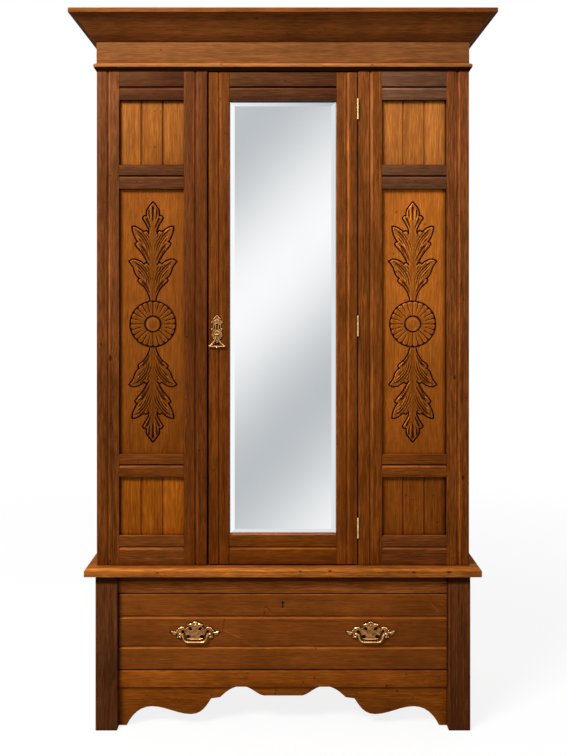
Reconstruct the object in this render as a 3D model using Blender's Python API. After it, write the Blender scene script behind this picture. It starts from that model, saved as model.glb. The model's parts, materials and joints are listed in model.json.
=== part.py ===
"""Mirrored armoire: a single-door wardrobe on a drawer base. Metres, +Z up, the front faces -Y."""

import math

import bmesh
import bpy
from mathutils import Vector

MM = 0.001

# Clearances
FIT = 0.3 * MM  # faces that are glued, screwed or seated together
PANEL_PLAY = 0.8 * MM  # panel edge to the bottom of its groove
DOOR_FOOT_GAP = 4 * MM
DOOR_HEAD_GAP = 3 * MM
LOCK_GAP = 4 * MM  # door edge to the left inner stile
DRAWER_SIDE_GAP = 1.5 * MM
DRAWER_HEAD_GAP = 4 * MM
DRAWER_FOOT_GAP = 4.5 * MM
PIN_PLAY = 0.4 * MM  # a pin in the hole that it turns in

# Carcass
CARCASS_WIDTH = 1080 * MM
CARCASS_DEPTH = 450 * MM
FRAME_THICKNESS = 28 * MM
OUTER_STILE_WIDTH = 65 * MM
INNER_STILE_WIDTH = 68.5 * MM
PANEL_SIGHT_WIDTH = 187.5 * MM
BOTTOM_RAIL_HEIGHT = 85.6 * MM
LOWER_PANEL_SIGHT = 171 * MM
LOWER_RAIL_HEIGHT = 65 * MM
CARVED_PANEL_SIGHT = 771 * MM
UPPER_RAIL_HEIGHT = 69.5 * MM
UPPER_PANEL_SIGHT = 188.2 * MM
TOP_RAIL_HEIGHT = 83.3 * MM
PANEL_RECESS = 14 * MM
PANEL_THICKNESS = 10 * MM
PANEL_GROOVE_DEPTH = 10 * MM
RAIL_TONGUE_INSET = 14 * MM  # a rail's tongue stands in from its edges
BOARDS_IN_PANEL = 3
BOARDS_IN_SIDE = 4
BOARDS_IN_BACK = 10
V_WIDTH = 10 * MM  # the lines along the framing and the drawer
V_DEPTH = 4 * MM
BOARD_JOINT_WIDTH = 7 * MM
BOARD_JOINT_DEPTH = 3 * MM
RAIL_LINE_INSET = 35 * MM  # the line along a rail, from its panel edge
CHAMFER = 1 * MM
SIDE_THICKNESS = 18 * MM
SIDE_TONGUE_THICKNESS = 8 * MM
SIDE_TONGUE_LENGTH = 6 * MM
BACK_THICKNESS = 12 * MM
HANGING_RAIL_RADIUS = 11 * MM
HANGING_RAIL_DROP = 110 * MM
HANGING_RAIL_SEAT = 8 * MM

# Carving
CARVING_DEPTH = 2.5 * MM
ROSETTE_RADIUS = 68 * MM
ROSETTE_BELOW_CENTRE = 8 * MM
BOSS_RADIUS = 23 * MM
PETALS = 24
PETAL_RIB = 3 * MM
# Each leaf: where it leaves the stem (out, along), where its tip is (out, along), and its half width
END_LEAF = ((0, 262), (0, 350), 22)
SIDE_LEAVES = (
    ((9, 208), (58, 282), 9),
    ((10, 170), (48, 230), 7),
    ((9, 120), (67, 182), 9),
    ((10, 86), (40, 127), 6),
)

# Top
FRIEZE_PROUD = 3 * MM
FRIEZE_THICKNESS = 20 * MM
FRIEZE_SHOW = 84.7 * MM  # from the foot of the frieze board to the cornice
NECK_HEIGHT = 23 * MM
NECK_DROP = 1.3 * MM
NECK_PROJECTION = 11 * MM
NECK_NOSE = 9 * MM
CORNICE_HEIGHT = 79 * MM
CORNICE_PROJECTION = 65 * MM
CORNICE_FILLET = 14 * MM
CORNICE_SOFFIT = 11 * MM
CORNICE_SWAY = 2.4 * MM
TOP_BOARD_THICKNESS = 12 * MM
TOP_BOARD_SINK = 6 * MM

# Door
DOOR_THICKNESS = 26 * MM
DOOR_STILE_WIDTH = 60 * MM
DOOR_TOP_RAIL_HEIGHT = 81.3 * MM
DOOR_BOTTOM_RAIL_HEIGHT = 84.5 * MM
MIRROR_SETBACK = 12 * MM
MIRROR_REBATE = 8 * MM
MIRROR_THICKNESS = 5 * MM
MIRROR_BEVEL_WIDTH = 12 * MM
MIRROR_BEVEL_DROP = 2 * MM
HINGE_HEIGHT = 60 * MM
HINGE_FROM_END = 106 * MM
MIDDLE_HINGE_BELOW_CENTRE = 22 * MM
HINGE_LEAF_THICKNESS = 1.2 * MM
HINGE_LEAF_DEPTH = 20 * MM
BARREL_RADIUS = 3 * MM
HINGE_PIN_RADIUS = 1.3 * MM
KNUCKLE_PLAY = 0.4 * MM
KNUCKLE_TAB_INSET = 0.1 * MM
LOCK_HEIGHT = 1172 * MM  # keyhole above the floor
LOCK_CASE_WIDTH = 44 * MM
LOCK_CASE_HEIGHT = 80 * MM
LOCK_CASE_DEPTH = 12 * MM
BOLT_LENGTH = 38 * MM
BOLT_HEIGHT = 14 * MM
BOLT_THICKNESS = 5 * MM
BOLT_THROW = 10 * MM
BOLT_SINK = 0.5 * MM
BOLT_RUN_SPARE = 3 * MM
BOLT_PLAY = 0.5 * MM
ESCUTCHEON_INSET = 24 * MM  # its centre line from the door edge
ESCUTCHEON_THICKNESS = 1.5 * MM
KEYHOLE_RADIUS = 2.6 * MM
KEYHOLE_SLOT_WIDTH = 3 * MM
KEYHOLE_LENGTH = 14 * MM
# Half outline of the escutcheon from its crest to its foot: out from its centre line, up from the keyhole
ESCUTCHEON_HALF = (
    (0, 28), (12, 17), (7, 14.5), (14.5, 10.5), (17.7, 5.5), (12, 1.5), (12.5, -9),
    (17.7, -13.5), (14.5, -18), (15.8, -32), (10.6, -42), (5, -45), (0, -54),
)
EAR_WIDTH = 3 * MM
EAR_HEIGHT = 9 * MM
EAR_TIP = 3 * MM  # in front of the drop pull's pin
DROP_PIVOT_BELOW = 28 * MM  # below the keyhole
DROP_PIVOT_OUT = 5.5 * MM
DROP_PIN_RADIUS = 1.3 * MM
DROP_NECK_WIDTH = 8 * MM
DROP_THICKNESS = 3.6 * MM
# Half outlines of the drop pull below its neck, and of its loop: out from its centre line, up from its pin
DROP_NECK_TOP, DROP_NECK_FOOT = 2.6, -5
DROP_HALF = ((7.5, -13), (13, -22), (21.5, -31), (21.5, -36.5), (4.5, -37.5), (3, -41.5))
LOOP_HALF = ((2, -12), (7.5, -22.5), (14.5, -31.5))

# Base
LEG_WIDTH = 63 * MM
LEG_DEPTH = 60 * MM
LEG_HEIGHT = 448.7 * MM
LEG_FORWARD = 10 * MM
LEG_OUT = 2 * MM
LEG_CHAMFER = 2 * MM
LEDGE_THICKNESS = 25.1 * MM
LEDGE_OVERHANG = 31 * MM
LEDGE_NOSE_RADIUS = 10.5 * MM
LEDGE_ARRIS = 1.5 * MM
DRAWER_SETBACK = 18 * MM
DRAWER_TOP_RAIL_HEIGHT = 57 * MM
DRAWER_TOP_RAIL_DEPTH = 26 * MM
DRAWER_BOTTOM_RAIL_HEIGHT = 47 * MM
DRAWER_BOTTOM_RAIL_DEPTH = 8 * MM
DRAWER_BOTTOM_RAIL_FOOT = 118.5 * MM
TENON_LENGTH = 12 * MM
TENON_INSET = 10 * MM
APRON_THICKNESS = 20 * MM
APRON_FLOOR_GAP = 3 * MM
APRON_TENON_FOOT = 40 * MM
# The cut edge from a leg to the middle, as curves: in from the leg, up from the apron's foot
APRON_CURVES = (
    ((23, 0), (40, 33), (62, 55), (98, 55)),
    ((98, 55), (135, 55), (172, 32), (210, 32)),
    ((210, 32), (242, 32), (255, 55), (270, 78)),
    ((296, 81.5), (310, 95), (330, 114), (358.5, 114)),
    ((358.5, 114), (385, 114), (402, 90), (422, 86.3)),
)
APRON_STEPS = 6
BASE_SIDE_THICKNESS = 20 * MM
BASE_SIDE_LIFT = 119 * MM
REAR_FOOT_DEPTH = 60 * MM
BASE_BACK_THICKNESS = 18 * MM
RUNNER_HEIGHT = 20 * MM
RUNNER_BEARING = 14 * MM  # how far the drawer side lies on it

# Drawer
DRAWER_FRONT_THICKNESS = 22 * MM
DRAWER_LINE_HEIGHTS = (64 * MM, 151.5 * MM)  # above its foot
DRAWER_SIDE_THICKNESS = 14 * MM
DRAWER_SIDE_HEIGHT = 180 * MM
DRAWER_BACK_GAP = 20 * MM
DRAWER_BOTTOM_THICKNESS = 8 * MM
DRAWER_BOTTOM_LIFT = 12 * MM
DRAWER_GROOVE_DEPTH = 6 * MM
DRAWER_KEYHOLE_BELOW_TOP = 27 * MM
HANDLE_OUT = 255 * MM  # from the middle of the drawer
HANDLE_LIFT = 103.5 * MM  # its posts above the drawer's foot
HANDLE_PLATE_THICKNESS = 2 * MM
POST_OUT = 43 * MM
POST_RADIUS = 4.5 * MM
POST_TIP = 5 * MM  # in front of the bail's axis
BAIL_OUT = 8 * MM  # its axis in front of the plate
BAIL_RADIUS = 2 * MM
BAIL_PIN_LENGTH = 6 * MM
# Half outline of a handle plate: its crest and foot out from its middle, its wing out from the post, all up
# from the posts
HANDLE_CREST = ((0, 38), (7, 35), (10, 30), (20, 27), (21, 18))
HANDLE_WING = (
    (-14, 14), (-10, 19), (-5, 22), (4, 17), (9, 9.5), (17, 8), (25, 11), (28, 8), (24, 1), (15, -4),
    (7, 2), (8, -8), (3, -11.5), (-5, -10), (-13, -3),
)
HANDLE_FOOT = ((27, 3), (24, -3), (17, -4), (20, -12), (8, -16), (0, -16.5))
HANDLE_EYE = (11.5, 15)
HANDLE_EYE_RADIUS = 4 * MM
# One half of the bail from its post to the middle, as curves: in from the post's side, up from the pins
BAIL_CURVES = (
    ((0.5, 0), (2.2, 0), (3.7, -1.5), (3.7, -3.4)),
    ((3.7, -3.4), (3.7, -14), (7.5, -24.5), (18.5, -24.5)),
)
BAIL_STEPS = 5
ROUND_SIDES = 16
SMALL_SIDES = 12
SMOOTH_ANGLE = math.radians(35)

# Places worked out from the sizes
HALF = CARCASS_WIDTH / 2
FRONT = CORNICE_PROJECTION + FRIEZE_PROUD - (CARCASS_DEPTH + CORNICE_PROJECTION + FRIEZE_PROUD) / 2
BACK = FRONT + CARCASS_DEPTH
PANEL_OUTER = HALF - OUTER_STILE_WIDTH
PANEL_INNER = PANEL_OUTER - PANEL_SIGHT_WIDTH
OPENING = PANEL_INNER - INNER_STILE_WIDTH
LEDGE_FOOT = LEG_HEIGHT + FIT
LEDGE_TOP = LEDGE_FOOT + LEDGE_THICKNESS
FRAME_FOOT = LEDGE_TOP + FIT
LOWER_PANEL_FOOT = FRAME_FOOT + BOTTOM_RAIL_HEIGHT
LOWER_RAIL_FOOT = LOWER_PANEL_FOOT + LOWER_PANEL_SIGHT
CARVED_PANEL_FOOT = LOWER_RAIL_FOOT + LOWER_RAIL_HEIGHT
UPPER_RAIL_FOOT = CARVED_PANEL_FOOT + CARVED_PANEL_SIGHT
UPPER_PANEL_FOOT = UPPER_RAIL_FOOT + UPPER_RAIL_HEIGHT
TOP_RAIL_FOOT = UPPER_PANEL_FOOT + UPPER_PANEL_SIGHT
FRAME_TOP = TOP_RAIL_FOOT + TOP_RAIL_HEIGHT
TOP_LINE = TOP_RAIL_FOOT + RAIL_LINE_INSET
BOTTOM_LINE = LOWER_PANEL_FOOT - RAIL_LINE_INSET
FRIEZE_FOOT = FRAME_TOP + FIT
CORNICE_FOOT = FRIEZE_FOOT + FRIEZE_SHOW
CORNICE_TOP = CORNICE_FOOT + CORNICE_HEIGHT
TOP_BOARD_FOOT = CORNICE_TOP - TOP_BOARD_SINK - TOP_BOARD_THICKNESS
FRIEZE_TOP = TOP_BOARD_FOOT - FIT
SIDE_INNER = HALF - SIDE_THICKNESS
HINGE_GAP = 2 * HINGE_LEAF_THICKNESS + 3 * FIT
DOOR_LEFT = LOCK_GAP - OPENING
DOOR_RIGHT = OPENING - HINGE_GAP
DOOR_FOOT = LEDGE_TOP + DOOR_FOOT_GAP
DOOR_TOP = FRIEZE_FOOT - NECK_DROP - DOOR_HEAD_GAP
DOOR_BACK = FRONT + DOOR_THICKNESS
SIGHT_LEFT = DOOR_LEFT + DOOR_STILE_WIDTH
SIGHT_RIGHT = DOOR_RIGHT - DOOR_STILE_WIDTH
SIGHT_FOOT = DOOR_FOOT + DOOR_BOTTOM_RAIL_HEIGHT
SIGHT_TOP = DOOR_TOP - DOOR_TOP_RAIL_HEIGHT
HINGE_AXIS = Vector((OPENING - HINGE_GAP / 2, FRONT - BARREL_RADIUS - FIT, DOOR_FOOT))
ESCUTCHEON_X = DOOR_LEFT + ESCUTCHEON_INSET
LEG_FRONT = FRONT - LEG_FORWARD
LEG_BACK = LEG_FRONT + LEG_DEPTH
LEG_OUTER = HALF + LEG_OUT
LEG_INNER = LEG_OUTER - LEG_WIDTH
BASE_FRONT = LEG_FRONT + DRAWER_SETBACK
BASE_SIDE_INNER = HALF - BASE_SIDE_THICKNESS
BASE_BACK_FRONT = BACK - BASE_BACK_THICKNESS
BOTTOM_RAIL_TOP = DRAWER_BOTTOM_RAIL_FOOT + DRAWER_BOTTOM_RAIL_HEIGHT
APRON_FRONT = BASE_FRONT + DRAWER_BOTTOM_RAIL_DEPTH + FIT
DRAWER_HALF = LEG_INNER - DRAWER_SIDE_GAP
DRAWER_FOOT = BOTTOM_RAIL_TOP + DRAWER_FOOT_GAP
DRAWER_TOP = LEG_HEIGHT - DRAWER_TOP_RAIL_HEIGHT - DRAWER_HEAD_GAP
DRAWER_BOX_FRONT = BASE_FRONT + DRAWER_FRONT_THICKNESS + FIT
DRAWER_BOX_BACK = BASE_BACK_FRONT - DRAWER_BACK_GAP
DRAWER_INNER = DRAWER_HALF - DRAWER_SIDE_THICKNESS
BAIL_AXIS_Y = BASE_FRONT - FIT - HANDLE_PLATE_THICKNESS - BAIL_OUT
BAIL_AXIS_Z = DRAWER_FOOT + HANDLE_LIFT
SIDES = {"left": -1, "right": 1}


# Building blocks


def clear_scene():
    for item in list(bpy.data.objects):
        bpy.data.objects.remove(item, do_unlink=True)


def finish(name, colour, roughness, metallic=0.0):
    material = bpy.data.materials.new(name)
    material.use_nodes = True
    shader = material.node_tree.nodes["Principled BSDF"]
    shader.inputs["Base Color"].default_value = (*colour, 1.0)
    shader.inputs["Roughness"].default_value = roughness
    shader.inputs["Metallic"].default_value = metallic
    return material


def add_object(name, shape, material):
    """An object made from a bmesh, with its origin in the middle of its shape."""
    bounds = [[vert.co[axis] for vert in shape.verts] for axis in range(3)]
    centre = Vector([(min(values) + max(values)) / 2 for values in bounds])
    bmesh.ops.translate(shape, verts=shape.verts, vec=-centre)
    bmesh.ops.recalc_face_normals(shape, faces=shape.faces)
    mesh = bpy.data.meshes.new(name)
    shape.to_mesh(mesh)
    shape.free()
    mesh.materials.append(material)
    item = bpy.data.objects.new(name, mesh)
    item.location = centre
    bpy.context.scene.collection.objects.link(item)
    return item


def round_off(item):
    """Shades a round piece smooth, with its real edges kept."""
    item.data.shade_smooth()
    item.data.set_sharp_from_angle(angle=SMOOTH_ANGLE)


def place(axis, flat, along):
    """A point of an outline drawn square to an axis, at a distance along that axis."""
    spot = list(flat)
    spot.insert("XYZ".index(axis), along)
    return Vector(spot)


def bridge(shape, rings):
    """Skins a row of rings of points and closes both ends."""
    rows = [[shape.verts.new(point) for point in ring] for ring in rings]
    for row, following in zip(rows, rows[1:]):
        for i in range(len(row)):
            shape.faces.new((row[i - 1], row[i], following[i], following[i - 1]))
    shape.faces.new(rows[0])
    shape.faces.new(rows[-1])


def loft(name, rings, material):
    shape = bmesh.new()
    bridge(shape, rings)
    return add_object(name, shape, material)


def extrude(name, outlines, axis, start, end, material):
    """One object of an outline, or of several that stand apart, extruded along an axis."""
    shape = bmesh.new()
    for outline in outlines:
        bridge(shape, [[place(axis, flat, along) for flat in outline] for along in (start, end)])
    return add_object(name, shape, material)


def snapped(boxes):
    """Boxes whose nearly equal corners are made equal."""
    return [[[round(value, 7) for value in spot] for spot in box] for box in boxes]


def blocks(name, solids, material, hollows=()):
    """One solid made of boxes that meet, less the boxes that are cut out of it."""
    solids, hollows = snapped(solids), snapped(hollows)
    cuts = [sorted({spot[axis] for box in (*solids, *hollows) for spot in box}) for axis in range(3)]
    counts = [len(values) - 1 for values in cuts]

    def within(box, middle):
        return all(box[0][axis] < middle[axis] < box[1][axis] for axis in range(3))

    def filled(cell):
        if not all(0 <= cell[axis] < counts[axis] for axis in range(3)):
            return False
        middle = [(cuts[axis][cell[axis]] + cuts[axis][cell[axis] + 1]) / 2 for axis in range(3)]
        in_solid = any(within(box, middle) for box in solids)
        return in_solid and not any(within(box, middle) for box in hollows)

    shape = bmesh.new()
    verts = {}

    def corner(index):
        if index not in verts:
            verts[index] = shape.verts.new([cuts[axis][index[axis]] for axis in range(3)])
        return verts[index]

    square = ((0, 0), (1, 0), (1, 1), (0, 1))
    cells = [(i, j, k) for i in range(counts[0]) for j in range(counts[1]) for k in range(counts[2])]
    for cell in filter(filled, cells):
        for axis in range(3):
            for step in (0, 1):
                beside = list(cell)
                beside[axis] += 2 * step - 1
                if filled(beside):
                    continue
                face = []
                for flat in square:
                    index = list(flat)
                    index.insert(axis, step)
                    face.append(corner(tuple(cell[a] + index[a] for a in range(3))))
                shape.faces.new(face)
    bmesh.ops.recalc_face_normals(shape, faces=shape.faces)
    bmesh.ops.dissolve_limit(shape, angle_limit=math.radians(1), verts=shape.verts, edges=shape.edges)
    return add_object(name, shape, material)


def box(low, high):
    """A box from any two opposite corners."""
    pairs = [sorted(pair) for pair in zip(low, high)]
    return [[pair[0] for pair in pairs], [pair[1] for pair in pairs]]


def combine(target, tool, operation):
    """A Boolean with a hidden tool, which stays with the piece that it shapes."""
    tool.hide_render = True
    tool.display_type = "WIRE"
    tool.location -= target.location
    tool.parent = target
    step = target.modifiers.new(tool.name, "BOOLEAN")
    step.operation = operation
    step.object = tool


def cut(target, tool):
    combine(target, tool, "DIFFERENCE")


def join(target, tool):
    combine(target, tool, "UNION")


def circle(centre, radius, sides=ROUND_SIDES):
    turns = [2 * math.pi * i / sides for i in range(sides)]
    return [(centre[0] + radius * math.cos(turn), centre[1] + radius * math.sin(turn)) for turn in turns]


def bezier(points, steps):
    """Points along a cubic curve, both ends included."""
    start, first, second, end = (Vector(point) for point in points)
    found = []
    for i in range(steps + 1):
        t = i / steps
        s = 1 - t
        found.append(s * s * s * start + 3 * s * s * t * first + 3 * s * t * t * second + t * t * t * end)
    return found


def mirrored_outline(half, middle, level):
    """A whole outline in metres from half of one in millimetres, given from its top to its foot."""
    right = [(middle + x * MM, level + z * MM) for x, z in half]
    left = [(middle - x * MM, level + z * MM) for x, z in reversed(half) if x]
    return right + left


def v_cut(centre, level, into, width=V_WIDTH, depth=V_DEPTH):
    """Three points of a V-groove in an edge that lies along the first of two coordinates."""
    return [(centre - width / 2, level), (centre, level + into * depth), (centre + width / 2, level)]


def board_joint(centre, level, into):
    return v_cut(centre, level, into, BOARD_JOINT_WIDTH, BOARD_JOINT_DEPTH)


def cut_line(item, ends, line, material):
    """Cuts a V-line across the face of a rail, from end to end."""
    mouth, half = FRONT - FIT, V_WIDTH / 2 + FIT
    groove = [(mouth, line - half), (FRONT + V_DEPTH, line), (mouth, line + half)]
    low, high = sorted(ends)
    cut(item, extrude(item.name + "_line", [groove], "X", low - FIT, high + FIT, material))


def turn_side(outline, side):
    return [(side * x, y) for x, y in outline]


def wrap(out, half, front):
    """The four plan corners of a line round the front and both ends, at a distance out from them."""
    return ((-half - out, BACK), (-half - out, front - out), (half + out, front - out), (half + out, BACK))


def mitred(name, profile, half, front, material):
    """A moulding mitred round the front and both ends, from a profile of (out, up) points."""
    rings = [[(*wrap(out, half, front)[i], up) for out, up in profile] for i in range(4)]
    return loft(name, rings, material)


def hang(pieces, name, spot, parent=None):
    """Carries pieces on an empty that stands on their joint's axis."""
    empty = bpy.data.objects.new(name, None)
    bpy.context.scene.collection.objects.link(empty)
    empty.location = spot
    if parent:
        empty.location -= parent.location
        empty.parent = parent
    for piece in pieces:
        piece.location -= Vector(spot)
        piece.parent = empty
    return empty


# Fixed fronts


def outer_stile(name, side, finishes):
    groove = PANEL_OUTER + PANEL_GROOVE_DEPTH + FIT
    face, rear = FRONT + PANEL_RECESS - FIT, FRONT + PANEL_RECESS + PANEL_THICKNESS + FIT
    back = FRONT + FRAME_THICKNESS
    tongue = (SIDE_THICKNESS - SIDE_TONGUE_THICKNESS) / 2 - FIT
    slot_in, slot_out = SIDE_INNER + tongue, HALF - tongue
    slot_floor = back - SIDE_TONGUE_LENGTH - FIT
    outline = [(PANEL_OUTER + CHAMFER, FRONT), *v_cut((PANEL_OUTER + HALF) / 2, FRONT, 1)]
    outline += [(HALF - CHAMFER, FRONT), (HALF, FRONT + CHAMFER), (HALF, back), (slot_out, back)]
    outline += [(slot_out, slot_floor), (slot_in, slot_floor), (slot_in, back), (PANEL_OUTER, back)]
    outline += [(PANEL_OUTER, rear), (groove, rear), (groove, face), (PANEL_OUTER, face)]
    outline += [(PANEL_OUTER, FRONT + CHAMFER)]
    return extrude(name, [turn_side(outline, side)], "Z", FRAME_FOOT, FRAME_TOP, finishes["frame"])


def inner_stile(name, side, finishes):
    groove = PANEL_INNER - PANEL_GROOVE_DEPTH - FIT
    face, rear = FRONT + PANEL_RECESS - FIT, FRONT + PANEL_RECESS + PANEL_THICKNESS + FIT
    back = FRONT + FRAME_THICKNESS
    outline = [(OPENING, FRONT + CHAMFER), (OPENING + CHAMFER, FRONT)]
    outline += v_cut((OPENING + PANEL_INNER) / 2, FRONT, 1)
    outline += [(PANEL_INNER - CHAMFER, FRONT), (PANEL_INNER, FRONT + CHAMFER), (PANEL_INNER, face)]
    outline += [(groove, face), (groove, rear), (PANEL_INNER, rear), (PANEL_INNER, back), (OPENING, back)]
    return extrude(name, [turn_side(outline, side)], "Z", FRAME_FOOT, FRAME_TOP, finishes["frame"])


def rail(name, side, foot, top, line, panel_below, panel_above, finishes):
    """A rail with a tongue at each end, a groove for each panel that it holds, and a V-line on its face."""
    face, rear = FRONT + PANEL_RECESS, FRONT + PANEL_RECESS + PANEL_THICKNESS
    back = FRONT + FRAME_THICKNESS
    inner, outer = PANEL_INNER + FIT, PANEL_OUTER - FIT
    reach = PANEL_GROOVE_DEPTH
    solids = [box((side * inner, FRONT, foot), (side * outer, back, top))]
    tongue_low = (side * (PANEL_INNER - reach), face, foot + RAIL_TONGUE_INSET)
    tongue_high = (side * (PANEL_OUTER + reach), rear, top - RAIL_TONGUE_INSET)
    solids.append(box(tongue_low, tongue_high))
    hollows = []
    for held, edge, depth in ((panel_below, foot, reach), (panel_above, top, -reach)):
        if held:
            hollows.append(box((-HALF, face - FIT, edge), (HALF, rear + FIT, edge + depth)))
    item = blocks(name, solids, finishes["frame"], hollows)
    cut_line(item, (side * inner, side * outer), line, finishes["frame"])
    return item


def panel_span(side):
    reach = PANEL_GROOVE_DEPTH - PANEL_PLAY
    return sorted((side * (PANEL_INNER - reach), side * (PANEL_OUTER + reach)))


def boarded_panel(name, side, foot, sight, finishes):
    """A panel of upright boards with a V-joint between each two."""
    low, high = panel_span(side)
    face, rear = FRONT + PANEL_RECESS, FRONT + PANEL_RECESS + PANEL_THICKNESS
    outline = [(low, face)]
    first = min(side * PANEL_INNER, side * PANEL_OUTER)
    for i in range(1, BOARDS_IN_PANEL):
        outline += board_joint(first + PANEL_SIGHT_WIDTH * i / BOARDS_IN_PANEL, face, 1)
    outline += [(high, face), (high, rear), (low, rear)]
    reach = PANEL_GROOVE_DEPTH - PANEL_PLAY
    return extrude(name, [outline], "Z", foot - reach, foot + sight + reach, finishes["panel"])


def leaf(start, end, half_width):
    """A pointed leaf between two points."""
    start, end = Vector(start), Vector(end)
    run = end - start
    across = Vector((-run.y, run.x)).normalized() * half_width
    steps = [i / 5 for i in range(1, 5)]
    bulge = [across * math.sin(math.pi * t) for t in steps]
    right = [start + run * t + out for t, out in zip(steps, bulge)]
    left = [start + run * t - out for t, out in zip(steps, bulge)]
    return [start, *right, end, *reversed(left)]


def petal(turn):
    """One hollow of the rosette, between its boss and its rim."""
    half_turn = math.pi / PETALS
    outline = []
    for radius, ends in ((BOSS_RADIUS + PETAL_RIB, (-1, 1)), (ROSETTE_RADIUS - PETAL_RIB, (1, 0, -1))):
        half = half_turn - PETAL_RIB / 2 / radius
        rim = PETAL_RIB if len(ends) == 3 else 0
        for end in ends:
            reach = radius + (rim if end == 0 else 0)
            outline.append((reach * math.sin(turn + end * half), reach * math.cos(turn + end * half)))
    return outline


def carving(middle, level):
    """Outlines of every hollow of the carving: the rosette's petals and a leaf spray above and below it."""
    outlines = [[(middle + x, level + z) for x, z in petal(2 * math.pi * i / PETALS)] for i in range(PETALS)]
    for up in (1, -1):
        leaves = [END_LEAF]
        for side in (1, -1):
            leaves += [((side * a, b), (side * c, d), width) for (a, b), (c, d), width in SIDE_LEAVES]
        for start, end, width in leaves:
            points = leaf(start, end, width)
            outlines.append([(middle + point.x * MM, level + up * point.y * MM) for point in points])
    return outlines


def carved_panel(name, side, finishes):
    low, high = panel_span(side)
    face, rear = FRONT + PANEL_RECESS, FRONT + PANEL_RECESS + PANEL_THICKNESS
    reach = PANEL_GROOVE_DEPTH - PANEL_PLAY
    foot, top = CARVED_PANEL_FOOT - reach, CARVED_PANEL_FOOT + CARVED_PANEL_SIGHT + reach
    item = blocks(name, [box((low, face, foot), (high, rear, top))], finishes["panel"])
    middle = (low + high) / 2
    level = CARVED_PANEL_FOOT + CARVED_PANEL_SIGHT / 2 - ROSETTE_BELOW_CENTRE
    hollows = carving(middle, level)
    cut(item, extrude(name + "_carving", hollows, "Y", face - FIT, face + CARVING_DEPTH, finishes["panel"]))
    return item


def fixed_front(hand, side, finishes):
    outer_stile(hand + "_outer_stile", side, finishes)
    stile = inner_stile(hand + "_inner_stile", side, finishes)
    lower_line = (LOWER_RAIL_FOOT + CARVED_PANEL_FOOT) / 2
    upper_line = (UPPER_RAIL_FOOT + UPPER_PANEL_FOOT) / 2
    rails = (
        ("_bottom_rail", FRAME_FOOT, LOWER_PANEL_FOOT, BOTTOM_LINE, False, True),
        ("_lower_rail", LOWER_RAIL_FOOT, CARVED_PANEL_FOOT, lower_line, True, True),
        ("_upper_rail", UPPER_RAIL_FOOT, UPPER_PANEL_FOOT, upper_line, True, True),
        ("_top_rail", TOP_RAIL_FOOT, FRAME_TOP, TOP_LINE, True, False),
    )
    for name, foot, top, line, below, above in rails:
        rail(hand + name, side, foot, top, line, below, above, finishes)
    boarded_panel(hand + "_lower_panel", side, LOWER_PANEL_FOOT, LOWER_PANEL_SIGHT, finishes)
    carved_panel(hand + "_carved_panel", side, finishes)
    boarded_panel(hand + "_upper_panel", side, UPPER_PANEL_FOOT, UPPER_PANEL_SIGHT, finishes)
    return stile


# Carcass


def hanging_rail_spot():
    return ((FRONT + FRAME_THICKNESS + BACK - BACK_THICKNESS) / 2, FRAME_TOP - HANGING_RAIL_DROP)


def side_panel(name, side, finishes):
    """Matchboarding with a tongue in the stile, V-joints outside and a blind hole for the hanging rail."""
    front = FRONT + FRAME_THICKNESS + FIT
    tip = front - SIDE_TONGUE_LENGTH
    inset = (SIDE_THICKNESS - SIDE_TONGUE_THICKNESS) / 2
    outline = [(HALF, front), (HALF - inset, front), (HALF - inset, tip), (SIDE_INNER + inset, tip)]
    outline += [(SIDE_INNER + inset, front), (SIDE_INNER, front), (SIDE_INNER, BACK), (HALF, BACK)]
    for i in range(BOARDS_IN_SIDE - 1, 0, -1):
        y = front + (BACK - front) * i / BOARDS_IN_SIDE
        outline += [(x, y) for y, x in reversed(board_joint(y, HALF, -1))]
    item = extrude(name, [turn_side(outline, side)], "Z", FRAME_FOOT, FRAME_TOP, finishes["side"])
    ends = sorted((side * (SIDE_INNER - FIT), side * (SIDE_INNER + HANGING_RAIL_SEAT)))
    hole = circle(hanging_rail_spot(), HANGING_RAIL_RADIUS + FIT)
    cut(item, extrude(name + "_hole", [hole], "X", *ends, finishes["side"]))


def back_panel(finishes):
    half = SIDE_INNER - FIT
    front = BACK - BACK_THICKNESS
    outline = [(-half, front), (half, front), (half, BACK)]
    for i in range(BOARDS_IN_BACK - 1, 0, -1):
        outline += reversed(board_joint(-half + 2 * half * i / BOARDS_IN_BACK, BACK, -1))
    outline.append((-half, BACK))
    extrude("back_panel", [outline], "Z", FRAME_FOOT, FRIEZE_TOP, finishes["inside"])


def hanging_rail(finishes):
    end = SIDE_INNER + HANGING_RAIL_SEAT - FIT
    item = extrude(
        "hanging_rail", [circle(hanging_rail_spot(), HANGING_RAIL_RADIUS)], "X", -end, end, finishes["inside"]
    )
    round_off(item)


# Top


def frieze_board(half, front, finishes):
    inner = -FRIEZE_THICKNESS
    profile = [(inner, FRIEZE_FOOT), (0, FRIEZE_FOOT), (0, FRIEZE_TOP), (inner, FRIEZE_TOP)]
    mitred("frieze_board", profile, half, front, finishes["light"])


def neck_moulding(half, front, finishes):
    """A rounded nose over a hollow, planted over the foot of the frieze."""
    foot = FRIEZE_FOOT - NECK_DROP
    top = foot + NECK_HEIGHT
    nose = top - NECK_NOSE
    radius = NECK_NOSE / 2
    hollow = NECK_PROJECTION - radius
    profile = [(FIT, foot), (FIT, top), (hollow, top)]
    for i in range(1, 6):
        turn = math.pi / 2 - math.pi * i / 6
        profile.append((hollow + radius * math.cos(turn), top - radius + radius * math.sin(turn)))
    profile.append((hollow, nose))
    for i in range(1, 4):
        turn = math.pi / 2 * i / 4
        out = hollow - (hollow - 2 * FIT) * math.sin(turn)
        profile.append((out, nose - (nose - foot) * (1 - math.cos(turn))))
    profile.append((2 * FIT, foot))
    mitred("neck_moulding", profile, half, front, finishes["light"])


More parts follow.
